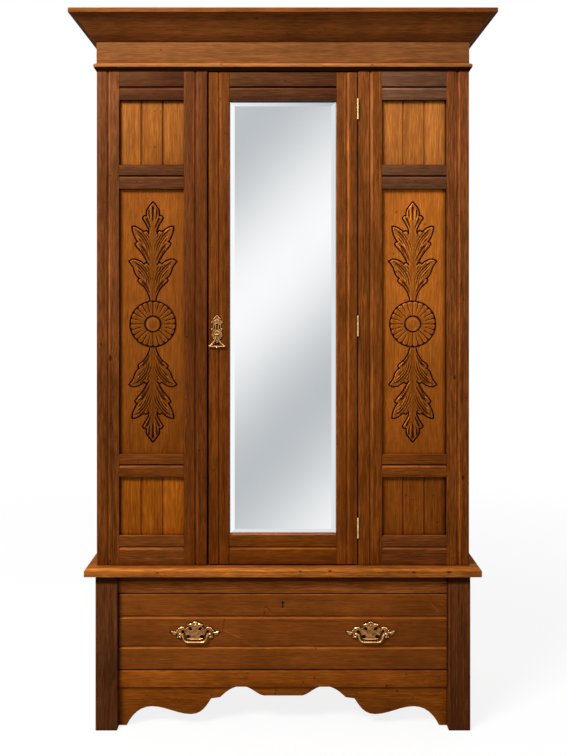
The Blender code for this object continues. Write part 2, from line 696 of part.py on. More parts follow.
def cornice(half, front, finishes):
    """A gentle S-shaped face under a square fillet."""
    lip = 2 * FIT
    start = Vector((lip, CORNICE_FOOT))
    end = Vector((CORNICE_PROJECTION - CORNICE_SOFFIT, CORNICE_TOP - CORNICE_FILLET - lip))
    run = end - start
    across = Vector((run.y, -run.x)).normalized()
    profile = [(FIT, CORNICE_FOOT)]
    for i in range(11):
        t = i / 10
        profile.append(tuple(start + run * t + across * CORNICE_SWAY * math.sin(2 * math.pi * t)))
    fillet = CORNICE_TOP - CORNICE_FILLET
    edge, soft = CORNICE_PROJECTION, 2 * CHAMFER
    profile += [(edge - CHAMFER, fillet), (edge, fillet + CHAMFER)]
    profile += [(edge, CORNICE_TOP - soft), (edge - soft, CORNICE_TOP)]
    profile.append((FIT, CORNICE_TOP))
    mitred("cornice", profile, half, front, finishes["light"])


def top_assembly(finishes):
    half, front = HALF + FRIEZE_PROUD, FRONT - FRIEZE_PROUD
    frieze_board(half, front, finishes)
    neck_moulding(half, front, finishes)
    cornice(half, front, finishes)
    low, high = (-half, front, TOP_BOARD_FOOT), (half, BACK, TOP_BOARD_FOOT + TOP_BOARD_THICKNESS)
    blocks("top_board", [box(low, high)], finishes["inside"])


# Door


def door_stile(name, edge, sight, finishes):
    """A stile with a rebate for the mirror, from the door's edge to the mirror's sight edge."""
    inward = 1 if sight > edge else -1
    rebate = sight - inward * MIRROR_REBATE
    ledge = FRONT + MIRROR_SETBACK
    outline = [(edge, FRONT + CHAMFER), (edge + inward * CHAMFER, FRONT)]
    line = v_cut((edge + sight) / 2, FRONT, 1)
    outline += line if inward > 0 else reversed(line)
    outline += [(sight - inward * CHAMFER, FRONT), (sight, FRONT + CHAMFER), (sight, ledge), (rebate, ledge)]
    outline += [(rebate, DOOR_BACK), (edge, DOOR_BACK)]
    return extrude(name, [outline], "Z", DOOR_FOOT, DOOR_TOP, finishes["frame"])


def door_rail(name, edge, sight, line, finishes):
    """A rail whose rear half laps into the stiles' rebates, with the V-line of the rails beside it."""
    upward = 1 if sight > edge else -1
    ledge = FRONT + MIRROR_SETBACK
    face = box((SIGHT_LEFT + FIT, FRONT, edge), (SIGHT_RIGHT - FIT, ledge, sight))
    lap = MIRROR_REBATE - FIT
    rear_top = sight - upward * MIRROR_REBATE
    rear = box((SIGHT_LEFT - lap, ledge + FIT, edge), (SIGHT_RIGHT + lap, DOOR_BACK, rear_top))
    neck = box((SIGHT_LEFT + FIT, ledge, edge), (SIGHT_RIGHT - FIT, DOOR_BACK, rear_top))
    item = blocks(name, [face, rear, neck], finishes["frame"])
    cut_line(item, (SIGHT_LEFT, SIGHT_RIGHT), line, finishes["frame"])
    return item


def mirror(finishes):
    """The bevelled plate and its backboard, both in the rebate of the door frame."""
    edge = MIRROR_REBATE - FIT
    low, high = (SIGHT_LEFT - edge, SIGHT_FOOT - edge), (SIGHT_RIGHT + edge, SIGHT_TOP + edge)
    front = FRONT + MIRROR_SETBACK + FIT
    back = front + MIRROR_THICKNESS
    inset = edge + MIRROR_BEVEL_WIDTH

    def ring(y, shrink):
        left, foot, right, top = low[0] + shrink, low[1] + shrink, high[0] - shrink, high[1] - shrink
        return [(left, y, foot), (right, y, foot), (right, y, top), (left, y, top)]

    rings = [ring(back, 0), ring(front + MIRROR_BEVEL_DROP, 0), ring(front, inset)]
    plate = loft("mirror_plate", rings, finishes["mirror"])
    rear = box((low[0], back + FIT, low[1]), (high[0], DOOR_BACK, high[1]))
    return [plate, blocks("mirror_backboard", [rear], finishes["inside"])]


def knuckle(hand):
    """Plan outline of a knuckle and the tab in its leaf. Hand is 1 for the frame, -1 for the door."""
    near = FIT / 2 + KNUCKLE_TAB_INSET
    far = FIT / 2 + HINGE_LEAF_THICKNESS - KNUCKLE_TAB_INSET
    begin, end = math.acos(far / BARREL_RADIUS), math.acos(near / BARREL_RADIUS) - 2 * math.pi
    outline = []
    for i in range(ROUND_SIDES + 1):
        turn = begin + (end - begin) * i / ROUND_SIDES
        outline.append((hand * BARREL_RADIUS * math.cos(turn), BARREL_RADIUS * math.sin(turn)))
    root = BARREL_RADIUS + FIT + HINGE_LEAF_DEPTH / 4
    outline += [(hand * near, root), (hand * far, root)]
    return [(HINGE_AXIS.x + x, HINGE_AXIS.y + y) for x, y in outline]


def hinge(name, level, finishes):
    """A butt hinge with its leaves in the gap beside the door. Gives its door leaf."""
    brass = finishes["brass"]
    foot, top = level - HINGE_HEIGHT / 2, level + HINGE_HEIGHT / 2
    third = HINGE_HEIGHT / 3
    leaves = {}
    for owner, hand in (("frame", 1), ("door", -1)):
        near = HINGE_AXIS.x + hand * FIT / 2
        far = near + hand * HINGE_LEAF_THICKNESS
        leaf_box = box((near, FRONT, foot), (far, FRONT + HINGE_LEAF_DEPTH, top))
        leaves[owner] = blocks(f"{name}_{owner}_leaf", [leaf_box], brass)
    frame, door = leaves["frame"], leaves["door"]
    for end, low in (("foot", foot), ("head", top - third + KNUCKLE_PLAY)):
        high = low + third - KNUCKLE_PLAY
        join(frame, extrude(f"{name}_{end}_knuckle", [knuckle(1)], "Z", low, high, brass))
    axis = (HINGE_AXIS.x, HINGE_AXIS.y)
    pin = circle(axis, HINGE_PIN_RADIUS)
    join(frame, extrude(name + "_pin", [pin], "Z", foot + third / 2, top - third / 2, brass))
    join(door, extrude(name + "_middle_knuckle", [knuckle(-1)], "Z", foot + third, top - third, brass))
    bore = circle(axis, HINGE_PIN_RADIUS + PIN_PLAY)
    cut(door, extrude(name + "_bore", [bore], "Z", foot, top, brass))
    return door


def keyhole_outline(middle, level):
    """A round hole with a slot below it."""
    half = KEYHOLE_SLOT_WIDTH / 2
    start = -math.acos(half / KEYHOLE_RADIUS)
    arc = [start + (math.pi - 2 * start) * i / 8 for i in range(9)]
    outline = [(middle + KEYHOLE_RADIUS * math.cos(a), level + KEYHOLE_RADIUS * math.sin(a)) for a in arc]
    return outline + [(middle - half, level - KEYHOLE_LENGTH), (middle + half, level - KEYHOLE_LENGTH)]


def lock(stile, jamb, finishes):
    """A lock case let into the door stile, its sliding bolt, and the mortise that takes the bolt."""
    brass = finishes["brass"]
    foot, top = LOCK_HEIGHT - LOCK_CASE_HEIGHT / 2, LOCK_HEIGHT + LOCK_CASE_HEIGHT / 2
    case_front = DOOR_BACK - LOCK_CASE_DEPTH
    right = DOOR_LEFT + LOCK_CASE_WIDTH
    spare = DOOR_THICKNESS
    beyond = DOOR_LEFT - spare
    pocket = box((beyond, case_front - FIT, foot - FIT), (right + FIT, DOOR_BACK + spare, top + FIT))
    cut(stile, blocks("lock_pocket", [pocket], brass))
    middle = case_front + LOCK_CASE_DEPTH / 2
    near, far = middle - BOLT_THICKNESS / 2, middle + BOLT_THICKNESS / 2
    low, high = LOCK_HEIGHT - BOLT_HEIGHT / 2, LOCK_HEIGHT + BOLT_HEIGHT / 2
    tip = DOOR_LEFT + BOLT_SINK
    channel = box((beyond, near - FIT, low - FIT), (tip + BOLT_LENGTH + FIT, far + FIT, high + FIT))
    case = box((DOOR_LEFT, case_front, foot), (right, DOOR_BACK, top))
    case_item = blocks("door_lock_case", [case], brass, [channel])
    bolt = blocks("door_lock_bolt", [box((tip, near, low), (tip + BOLT_LENGTH, far, high))], brass)
    deep = tip - BOLT_THROW - BOLT_RUN_SPARE
    play = BOLT_PLAY
    mortise = box((deep, near - play, low - play), (spare - OPENING, far + play, high + play))
    cut(jamb, blocks("bolt_mortise", [mortise], brass))
    return case_item, bolt


def escutcheon(stile, finishes):
    """The brass plate, its two ears, and a keyhole through the plate and the door stile."""
    brass = finishes["brass"]
    back = FRONT - FIT
    front = back - ESCUTCHEON_THICKNESS
    outline = mirrored_outline(ESCUTCHEON_HALF, ESCUTCHEON_X, LOCK_HEIGHT)
    plate = extrude("escutcheon_plate", [outline], "Y", front, back, brass)
    pivot = LOCK_HEIGHT - DROP_PIVOT_BELOW
    near = DROP_NECK_WIDTH / 2 + FIT
    ears = []
    for side in (-1, 1):
        ears.append([
            (ESCUTCHEON_X + side * (near + along * EAR_WIDTH), pivot + up * EAR_HEIGHT / 2)
            for along, up in ((0, -1), (1, -1), (1, 1), (0, 1))
        ])
    tip, root = front - DROP_PIVOT_OUT - EAR_TIP, front + ESCUTCHEON_THICKNESS / 2
    join(plate, extrude("ears", ears, "Y", tip, root, brass))
    axis = (front - DROP_PIVOT_OUT, pivot)
    bore = circle(axis, DROP_PIN_RADIUS + PIN_PLAY, SMALL_SIDES)
    reach = near + EAR_WIDTH + FIT
    cut(plate, extrude("ear_bore", [bore], "X", ESCUTCHEON_X - reach, ESCUTCHEON_X + reach, brass))
    hole = keyhole_outline(ESCUTCHEON_X, LOCK_HEIGHT)
    cut(plate, extrude("plate_keyhole", [hole], "Y", front - FIT, back + FIT, brass))
    cut(stile, extrude("stile_keyhole", [hole], "Y", FRONT - FIT, DOOR_BACK + FIT, brass))
    return plate, axis


def drop_pull(axis, finishes):
    """A triangular loop that hangs between the ears on its own pin."""
    brass = finishes["brass"]
    y, z = axis
    near, far = y - DROP_THICKNESS / 2, y + DROP_THICKNESS / 2
    side = DROP_NECK_WIDTH / 2 / MM
    half = ((side, DROP_NECK_TOP), (side, DROP_NECK_FOOT), *DROP_HALF)
    item = extrude("drop_pull", [mirrored_outline(half, ESCUTCHEON_X, z)], "Y", near, far, brass)
    loop = mirrored_outline(LOOP_HALF, ESCUTCHEON_X, z)
    cut(item, extrude("drop_loop", [loop], "Y", near - FIT, far + FIT, brass))
    reach = DROP_NECK_WIDTH / 2 + FIT + EAR_WIDTH
    pin = circle(axis, DROP_PIN_RADIUS, SMALL_SIDES)
    join(item, extrude("drop_pin", [pin], "X", ESCUTCHEON_X - reach, ESCUTCHEON_X + reach, brass))
    return item


def door(jamb, finishes):
    left = door_stile("door_left_stile", DOOR_LEFT, SIGHT_LEFT, finishes)
    right = door_stile("door_right_stile", DOOR_RIGHT, SIGHT_RIGHT, finishes)
    pieces = [left, right]
    pieces.append(door_rail("door_top_rail", DOOR_TOP, SIGHT_TOP, TOP_LINE, finishes))
    pieces.append(door_rail("door_bottom_rail", DOOR_FOOT, SIGHT_FOOT, BOTTOM_LINE, finishes))
    pieces += mirror(finishes)
    middle = (DOOR_FOOT + DOOR_TOP) / 2 - MIDDLE_HINGE_BELOW_CENTRE
    levels = {"top": DOOR_TOP - HINGE_FROM_END, "middle": middle, "bottom": DOOR_FOOT + HINGE_FROM_END}
    pieces += [hinge(end + "_hinge", level, finishes) for end, level in levels.items()]
    case, bolt = lock(left, jamb, finishes)
    plate, axis = escutcheon(left, finishes)
    pull = drop_pull(axis, finishes)
    turning = hang([*pieces, case, plate], "door_axis", HINGE_AXIS)
    hang([bolt], "bolt_slide", bolt.location.copy(), turning)
    hang([pull], "drop_pull_axis", (ESCUTCHEON_X, *axis), turning)


# Base


def ledge(finishes):
    """The moulded ledge between base and carcass, with a rounded nose on the front and both ends."""
    radius = LEDGE_NOSE_RADIUS
    profile = [(LEDGE_OVERHANG - LEDGE_ARRIS, LEDGE_FOOT), (LEDGE_OVERHANG, LEDGE_FOOT + LEDGE_ARRIS)]
    for i in range(7):
        turn = math.pi / 2 * i / 6
        back, down = radius * (1 - math.cos(turn)), radius * (1 - math.sin(turn))
        profile.append((LEDGE_OVERHANG - back, LEDGE_TOP - down))
    rings = [[(*spot, up) for spot in wrap(out, HALF, FRONT)] for out, up in profile]
    loft("base_top", rings, finishes["light"])


def front_leg(name, side, finishes):
    bevel = LEG_CHAMFER
    outline = [(LEG_INNER + bevel, LEG_FRONT), (LEG_OUTER - bevel, LEG_FRONT), (LEG_OUTER, LEG_FRONT + bevel)]
    outline += [(LEG_OUTER, LEG_BACK), (LEG_INNER, LEG_BACK), (LEG_INNER, LEG_FRONT + bevel)]
    item = extrude(name, [turn_side(outline, side)], "Z", 0, LEG_HEIGHT, finishes["frame"])
    deep = LEG_INNER + TENON_LENGTH + FIT
    holes = []
    for front, back, foot, top in (top_rail_tenon(), apron_tenon()):
        low = (side * (LEG_INNER - TENON_LENGTH), front - FIT, foot - FIT)
        holes.append(box(low, (side * deep, back + FIT, top + FIT)))
    cut(item, blocks(name + "_mortises", holes, finishes["frame"]))


def top_rail_tenon():
    """Front, back, foot and top of the tenons of the rail over the drawer."""
    foot = LEG_HEIGHT - DRAWER_TOP_RAIL_HEIGHT
    back = BASE_FRONT + DRAWER_TOP_RAIL_DEPTH
    return BASE_FRONT + TENON_INSET, back - TENON_INSET / 2, foot + TENON_INSET, LEG_HEIGHT - TENON_INSET


def apron_tenon():
    """Front, back, foot and top of the apron's tenons, which keep its whole thickness."""
    return APRON_FRONT, APRON_FRONT + APRON_THICKNESS, APRON_TENON_FOOT, BOTTOM_RAIL_TOP - TENON_INSET


def base_rails(finishes):
    end = LEG_INNER - FIT
    foot = LEG_HEIGHT - DRAWER_TOP_RAIL_HEIGHT
    body = box((-end, BASE_FRONT, foot), (end, BASE_FRONT + DRAWER_TOP_RAIL_DEPTH, LEG_HEIGHT))
    front, back, low, high = top_rail_tenon()
    reach = LEG_INNER + TENON_LENGTH
    blocks("drawer_top_rail", [body, box((-reach, front, low), (reach, back, high))], finishes["base"])
    strip_back = BASE_FRONT + DRAWER_BOTTOM_RAIL_DEPTH
    strip = box((-end, BASE_FRONT, DRAWER_BOTTOM_RAIL_FOOT), (end, strip_back, BOTTOM_RAIL_TOP))
    blocks("drawer_bottom_rail", [strip], finishes["base"])


def apron(finishes):
    """A board with a scalloped lower edge, tenoned into the legs behind the rail under the drawer."""
    end = LEG_INNER - FIT
    reach = LEG_INNER + TENON_LENGTH
    front, back, low, high = apron_tenon()
    foot = APRON_FLOOR_GAP
    half = [(end, BOTTOM_RAIL_TOP), (end, high), (reach, high), (reach, low), (end, low), (end, foot)]
    for points in APRON_CURVES:
        half += [(LEG_INNER - point.x * MM, foot + point.y * MM) for point in bezier(points, APRON_STEPS)]
    spaced = []
    for point in half:
        if not spaced or (Vector(point) - Vector(spaced[-1])).length > FIT:
            spaced.append(point)
    outline = spaced + [(-x, z) for x, z in reversed(spaced)]
    extrude("apron", [outline], "Y", front, back, finishes["base"])


def base_side(name, side, finishes):
    """A side board with its rear foot, and the runner that is glued to it for the drawer."""
    front, top = LEG_BACK + FIT, LEG_HEIGHT
    board = box((side * BASE_SIDE_INNER, front, BASE_SIDE_LIFT), (side * HALF, BACK, top))
    foot = box((side * BASE_SIDE_INNER, BACK - REAR_FOOT_DEPTH, 0), (side * HALF, BACK, top))
    runner_top = DRAWER_FOOT - FIT
    edge = DRAWER_HALF - RUNNER_BEARING
    low = (side * edge, front, runner_top - RUNNER_HEIGHT)
    runner = box(low, (side * HALF, BASE_BACK_FRONT - FIT, runner_top))
    blocks(name, [board, foot, runner], finishes["side"])


def base(finishes):
    ledge(finishes)
    for hand, side in SIDES.items():
        front_leg(hand + "_front_leg", side, finishes)
        base_side(hand + "_base_side", side, finishes)
    base_rails(finishes)
    apron(finishes)
    half = BASE_SIDE_INNER - FIT
    rear = box((-half, BASE_BACK_FRONT, BASE_SIDE_LIFT), (half, BACK, LEG_HEIGHT))
    blocks("base_back", [rear], finishes["inside"])


# Drawer


def drawer_front(finishes):
    """The front board, with V-lines across its face and a groove behind for the bottom."""
    back = BASE_FRONT + DRAWER_FRONT_THICKNESS
    slot_foot = DRAWER_FOOT + DRAWER_BOTTOM_LIFT - FIT
    slot_top = slot_foot + DRAWER_BOTTOM_THICKNESS + 2 * FIT
    slot_floor = back - DRAWER_GROOVE_DEPTH - FIT
    outline = [(back, DRAWER_TOP), (BASE_FRONT + CHAMFER, DRAWER_TOP), (BASE_FRONT, DRAWER_TOP - CHAMFER)]
    for height in reversed(DRAWER_LINE_HEIGHTS):
        outline += [(y, z) for z, y in reversed(v_cut(DRAWER_FOOT + height, BASE_FRONT, 1))]
    outline += [(BASE_FRONT, DRAWER_FOOT + CHAMFER), (BASE_FRONT + CHAMFER, DRAWER_FOOT), (back, DRAWER_FOOT)]
    outline += [(back, slot_foot), (slot_floor, slot_foot), (slot_floor, slot_top), (back, slot_top)]
    item = extrude("drawer_front", [outline], "X", -DRAWER_HALF, DRAWER_HALF, finishes["base"])
    hole = keyhole_outline(0, DRAWER_TOP - DRAWER_KEYHOLE_BELOW_TOP)
    cut(item, extrude("drawer_keyhole", [hole], "Y", BASE_FRONT - FIT, back + FIT, finishes["base"]))
    return item


def drawer_box(finishes):
    """The two sides, the back and the bottom, which slides into grooves in the sides and the front."""
    inside = finishes["inside"]
    slot_foot = DRAWER_FOOT + DRAWER_BOTTOM_LIFT
    slot_top = slot_foot + DRAWER_BOTTOM_THICKNESS
    top = DRAWER_FOOT + DRAWER_SIDE_HEIGHT
    reach = DRAWER_INNER + DRAWER_GROOVE_DEPTH
    pieces = []
    for hand, side in SIDES.items():
        low, high = side * DRAWER_INNER, side * DRAWER_HALF
        board = box((low, DRAWER_BOX_FRONT, DRAWER_FOOT), (high, DRAWER_BOX_BACK, top))
        slot_low = (side * (DRAWER_INNER - FIT), DRAWER_BOX_FRONT - FIT, slot_foot - FIT)
        slot = box(slot_low, (side * (reach + FIT), DRAWER_BOX_BACK + FIT, slot_top + FIT))
        pieces.append(blocks(f"drawer_{hand}_side", [board], inside, [slot]))
    half = DRAWER_INNER - FIT
    back_front = DRAWER_BOX_BACK - DRAWER_SIDE_THICKNESS
    back = box((-half, back_front, slot_top + FIT), (half, DRAWER_BOX_BACK, top))
    pieces.append(blocks("drawer_back", [back], inside))
    front = BASE_FRONT + DRAWER_FRONT_THICKNESS - DRAWER_GROOVE_DEPTH
    bottom = box((-reach, front, slot_foot), (reach, DRAWER_BOX_BACK, slot_top))
    pieces.append(blocks("drawer_bottom", [bottom], inside))
    return pieces


def handle_plate(name, middle, finishes):
    """A pierced brass plate with two posts, bored for the ends of the bail."""
    brass = finishes["brass"]
    back = BASE_FRONT - FIT
    front = back - HANDLE_PLATE_THICKNESS
    wing = tuple((POST_OUT / MM + x, z) for x, z in HANDLE_WING)
    outline = mirrored_outline(HANDLE_CREST + wing + HANDLE_FOOT, middle, BAIL_AXIS_Z)
    item = extrude(name, [outline], "Y", front, back, brass)
    posts = [circle((middle + side * POST_OUT, BAIL_AXIS_Z), POST_RADIUS) for side in (-1, 1)]
    tip, root = front - BAIL_OUT - POST_TIP, front + HANDLE_PLATE_THICKNESS / 2
    join(item, extrude(name + "_posts", posts, "Y", tip, root, brass))
    x, z = HANDLE_EYE
    level = BAIL_AXIS_Z + z * MM
    eyes = [circle((middle + s * x * MM, level), HANDLE_EYE_RADIUS, SMALL_SIDES) for s in (-1, 1)]
    cut(item, extrude(name + "_eyes", eyes, "Y", front - FIT, back + FIT, brass))
    bore = circle((BAIL_AXIS_Y, BAIL_AXIS_Z), BAIL_RADIUS + PIN_PLAY, SMALL_SIDES)
    reach = POST_OUT + POST_RADIUS + FIT
    cut(item, extrude(name + "_bore", [bore], "X", middle - reach, middle + reach, brass))
    return item


def bail(name, middle, finishes):
    """A bent rod whose ends turn in the posts. Its origin is on that axis."""
    inner = POST_OUT - POST_RADIUS
    half = [(inner + BAIL_PIN_LENGTH, 0)]
    for points in BAIL_CURVES:
        half += [(inner - point.x * MM, point.y * MM) for point in bezier(points, BAIL_STEPS)[:-1]]
    end = BAIL_CURVES[-1][-1]
    half.append((inner - end[0] * MM, end[1] * MM))
    route = [(-x, z) for x, z in half] + list(reversed(half))
    curve = bpy.data.curves.new(name, "CURVE")
    curve.dimensions = "3D"
    curve.bevel_depth = BAIL_RADIUS
    curve.bevel_resolution = 2
    curve.use_fill_caps = True
    spline = curve.splines.new("POLY")
    spline.points.add(len(route) - 1)
    for point, (x, z) in zip(spline.points, route):
        point.co = (x, 0, z, 1)
    curve.materials.append(finishes["brass"])
    item = bpy.data.objects.new(name, curve)
    item.location = (middle, BAIL_AXIS_Y, BAIL_AXIS_Z)
    bpy.context.scene.collection.objects.link(item)
    return item


def drawer(finishes):
    pieces = [drawer_front(finishes), *drawer_box(finishes)]
    plates, bails = [], []
    for hand, side in SIDES.items():
        plates.append(handle_plate(hand + "_handle_plate", side * HANDLE_OUT, finishes))
        bails.append(bail(hand + "_bail", side * HANDLE_OUT, finishes))
    sliding = hang(pieces + plates, "drawer_slide", (0, BASE_FRONT, DRAWER_FOOT))
    for item in bails:
        hang([item], item.name + "_axis", item.location.copy(), sliding)


def main():
    clear_scene()
    finishes = {
        "frame": finish("dark_stained_wood", (0.13, 0.042, 0.013), 0.45),
        "panel": finish("honey_stained_wood", (0.30, 0.11, 0.025), 0.42),
        "light": finish("light_stained_wood", (0.27, 0.105, 0.030), 0.42),
        "base": finish("base_stained_wood", (0.19, 0.066, 0.018), 0.45),
        "side": finish("side_stained_wood", (0.17, 0.058, 0.017), 0.5),
        "inside": finish("bare_wood", (0.42, 0.25, 0.12), 0.7),
        "brass": finish("aged_brass", (0.62, 0.38, 0.16), 0.32, 1.0),
        "mirror": finish("mirror_glass", (0.9, 0.92, 0.93), 0.02, 1.0),
    }
    jambs = {hand: fixed_front(hand, side, finishes) for hand, side in SIDES.items()}
    for hand, side in SIDES.items():
        side_panel(hand + "_side_panel", side, finishes)
    back_panel(finishes)
    hanging_rail(finishes)
    top_assembly(finishes)
    door(jambs["left"], finishes)
    base(finishes)
    drawer(finishes)


main()
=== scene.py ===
"""Looks of a mirrored armoire: stained wood, carving, brass and mirror, and the studio around it."""

import json
import math

import bmesh
import bpy
import numpy as np
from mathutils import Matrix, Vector
from mathutils.geometry import delaunay_2d_cdt


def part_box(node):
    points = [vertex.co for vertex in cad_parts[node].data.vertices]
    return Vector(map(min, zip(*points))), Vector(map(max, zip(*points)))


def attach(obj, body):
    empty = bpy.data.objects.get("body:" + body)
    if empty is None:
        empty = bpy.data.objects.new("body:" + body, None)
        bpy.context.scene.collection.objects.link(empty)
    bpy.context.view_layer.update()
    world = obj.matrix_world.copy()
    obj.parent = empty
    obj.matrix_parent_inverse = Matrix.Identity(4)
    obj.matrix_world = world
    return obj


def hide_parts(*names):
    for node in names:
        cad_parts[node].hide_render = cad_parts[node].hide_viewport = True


MM = 0.001

# View: the picture's size, the pixel that the level camera looks at, and its distance from the carcass front
IMAGE_WIDTH, IMAGE_HEIGHT = 567, 756
EYE_PIXEL = (282.9, 291.0)
PIXEL_SIZE = 2.9 * MM  # on the carcass front
CAMERA_DISTANCE = 2.6
EYE_HEIGHT = 1.2702
SENSOR = 36.0

# Light
KEY_PLACE = (-2.0, -3.0, 3.7)
KEY_AIM = (0.0, -0.2, 1.2)
KEY_SIZE = (1.5, 1.2)
KEY_POWER = 150.0
FILL_LIGHT, FILL_BEHIND = 0.20, 0.55  # the even light from in front and from behind
FILL_TURN = (0.0, 0.5)  # where the one gives way to the other
# What gloss reflects: slanting bands in front, plain cards beyond them, and the grey room behind
SHEEN_DARK = (193, 197, 200)
SHEEN_LIGHT = (254, 254, 254)
SHEEN_SIDE = (229, 231, 233)
SHEEN_TILT = 1.0
SHEEN_START = 0.03
SHEEN_PERIOD = 0.38
LEFT_CARD = (-0.08, -0.11)
RIGHT_CARD = (0.08, 0.11)
FAR_SIDE = (0.35, 0.6)
LOW_CARD = (-0.29, -0.32)
DARK_FLOOR = (-0.42, -0.55)
HIGH_CARD = (0.36, 0.46)
HIGH_CARD_LIGHT = 2.6
ROOM_GREY = (112, 106, 100)
ROOM_TURN = (0.1, -0.3)
FLOOR_BROWN = (60, 50, 42)
FLOOR_SIZE = 24.0
FLOOR_COLOUR = 0.5  # to light that bounces off it
FLOOR_GLOW, FLOOR_SHADE = 0.85, 0.24  # what the camera sees of it: its own white, and its lit part
FLOOR_FADE = (1.2, 3.4)  # from the object, where its shading gives way to white

# Wood: its wax, and how its colour changes from the foot to the top. A spread takes one range of values
# to another, or to none and one.
WAX_TINT, WAX_LEVEL = (255, 178, 104), 0.12
WAX_SPREAD = (0.3, 0.7, 0.36, 0.56)
GRADE_HEIGHTS = (0.45, 1.9)
FOOT_GAINS, TOP_GAINS = (1.0, 0.91, 0.55), (1.0, 1.06, 1.42)
# Grain: each layer's scale across and along it, then its detail, roughness and weight
GRAIN = {
    "streaks": (75, 2, 3, 0.6, 0.52),
    "threads": (210, 6, 2, 0.55, 0.8),
    "fibres": (460, 26, 1, 0.5, 1.2),
    "bands": (13, 1, 2, 0.5, 0.46),
    "mottle": (60, 22, 2, 0.6, 0.2),
}
RING_SCALE, RING_NOISE = (8.0, 0.6), (1.0, 0.4, 0.3)
RING_COUNT, RING_WEIGHT = 24.0, -0.11
GRAIN_MIDDLE = 0.52
GRAIN_RAMP = ((0.04, (0.26, 0.21, 0.18)), (0.5, (1, 1, 1)), (0.96, (2.1, 2.2, 2.3)))  # gains on the tone
GRAIN_DEPTH, GRAIN_STRENGTH, STREAK_DEPTH = 0.25 * MM, 0.4, 0.6
GRAIN_SHIFT = (0.73, 0.41, 0.57)  # from one piece to the next
BOARD_DRAW, BOARD_SHIFT, BOARD_SHADES = 1.37, (3.0, 3.0, 3.0), (0.84, 1.16)
# Marks: the noise and the reach of each kind, then how strong it is and its gain on the tone
BLOTCHES, BLOTCH_SPREAD = (6.0, 3.0, 0.55), (0.28, 0.72, 0.80, 1.20)
PORE_SCALE, PORE_SPREAD = (560.0, 34.0), (0.58, 0.70)
SPECKS, SPECK_SPREAD = (85.0, 1.0), (0.735, 0.80)
PORE, SPECK, KNOT = (0.3, (0.22, 0.16, 0.12)), (0.7, (0.12, 0.09, 0.08)), (0.85, (0.14, 0.09, 0.07))
KNOT_SQUASH, KNOT_SWIRL, KNOT_EDGE = 0.55, (0.4, 3.2), (0.5, 1.15)
SCRATCH_CORE, SCRATCH_STRENGTH = 0.3, 0.9
# Wear, painted light, painted shade and dirt: gains on the colour, and which faces they show on
LEANING, STRAIGHT, UNDERSIDE = (0.3, 0.5), (0.9, 0.97), (-0.2, -0.5)
# The gain of worn edges and arrises, also used for painted light on slopes that face left
WEAR_AND_LIGHT_GAIN, WORN_SPREAD = (1.9, 1.95, 2.1, 1), (0.35, 0.6, 0.15, 0.85)
# Painted light on what faces up
LIT_GAIN, LIT_SPREAD = (2.0, 2.1, 2.2, 1), (0.35, 0.65, 0.5, 0.95)
# Painted light on slopes that face left, in streaks of the grain
LEFT_LIGHT_SPREAD = (0.45, 0.62, 0.0, 0.7)
# Painted highlight, with wear, on the carving's ridges, and painted shade, with dirt, in its cuts
RIDGE_WEAR_AND_HIGHLIGHT_GAIN, CUT_SHADE_AND_DIRT_GAIN = (2.5, 2.6, 3.2, 1), (0.04, 0.03, 0.03)
# Painted shade in corners and recesses
CORNER_SHADE_REACH, CORNER_SHADE_SPREAD = 7 * MM, (0.28, 0.78, 0.12, 1.0)
LINE_SHADE = 0.1  # of the painted shade on the walls of upright grooves that face right
# The colour of painted shade and dirt below, of painted shade on walls, and of dark seams
SHADE_AND_DIRT = (0.02, 0.012, 0.01)
EAVES_GAIN = (0.24, 0.21, 0.18, 1)  # of the shade under an overhang or beside a rim
EAVES_EDGE, RIM_REACH = 5 * MM, 12 * MM
ARRIS_OUT, ARRIS_HALF = 5.8 * MM, 2.2 * MM  # the pale arrises beside a stile's line, from its middle
ARRIS_SPREAD = (0.38, 0.6, 0.0, 0.95)

# Brass: its patches, its dark hollows and its fine roughness
PATCHES, PATCH_ENDS = (110.0, 3.0, 0.6), (0.34, 0.66)
TARNISH, HOLLOW_REACH, HOLLOW_SPREAD = (34, 17, 8), 5 * MM, (0.30, 0.80, 0.92, 0.0)
DULLER = 0.14  # roughness of dark patches over that of light ones
CAST_NOISE, CAST_DEPTH, CAST_STRENGTH = (900.0, 2.0), 0.12 * MM, 0.35
# Each finish: its name, its dark and light patches and its roughness
CAST_FINISHES = (
    ("aged_brass", (126, 78, 44), (192, 136, 80), 0.24),
    ("polished_brass", (170, 116, 66), (228, 186, 126), 0.12),
    ("patina_and_painted_shade", (16, 9, 5), (30, 17, 9), 0.5),
)
BRIGHT_FINISH = ("bright_brass", (214, 168, 94), (252, 224, 156), 0.2)
# Mirror: its clouds
CLOUDS, CLOUD_DARK, CLOUD_LIGHT = (4.0, 4.0, 0.6), (246, 247, 248), (250, 251, 252)
CLOUD_GLOSS = (0.3, 0.7, 0.012, 0.03)

# Edges
EDGE_ROUND = 0.9 * MM
EDGE_ANGLE = math.radians(28)
SMOOTH_ANGLE = math.radians(35)
FLAT_ANGLE = math.radians(0.3)
EDGE_STEPS = 2
WELD = 0.01 * MM

# Grain directions
ACROSS, DEEP, UP = 0, 1, 2

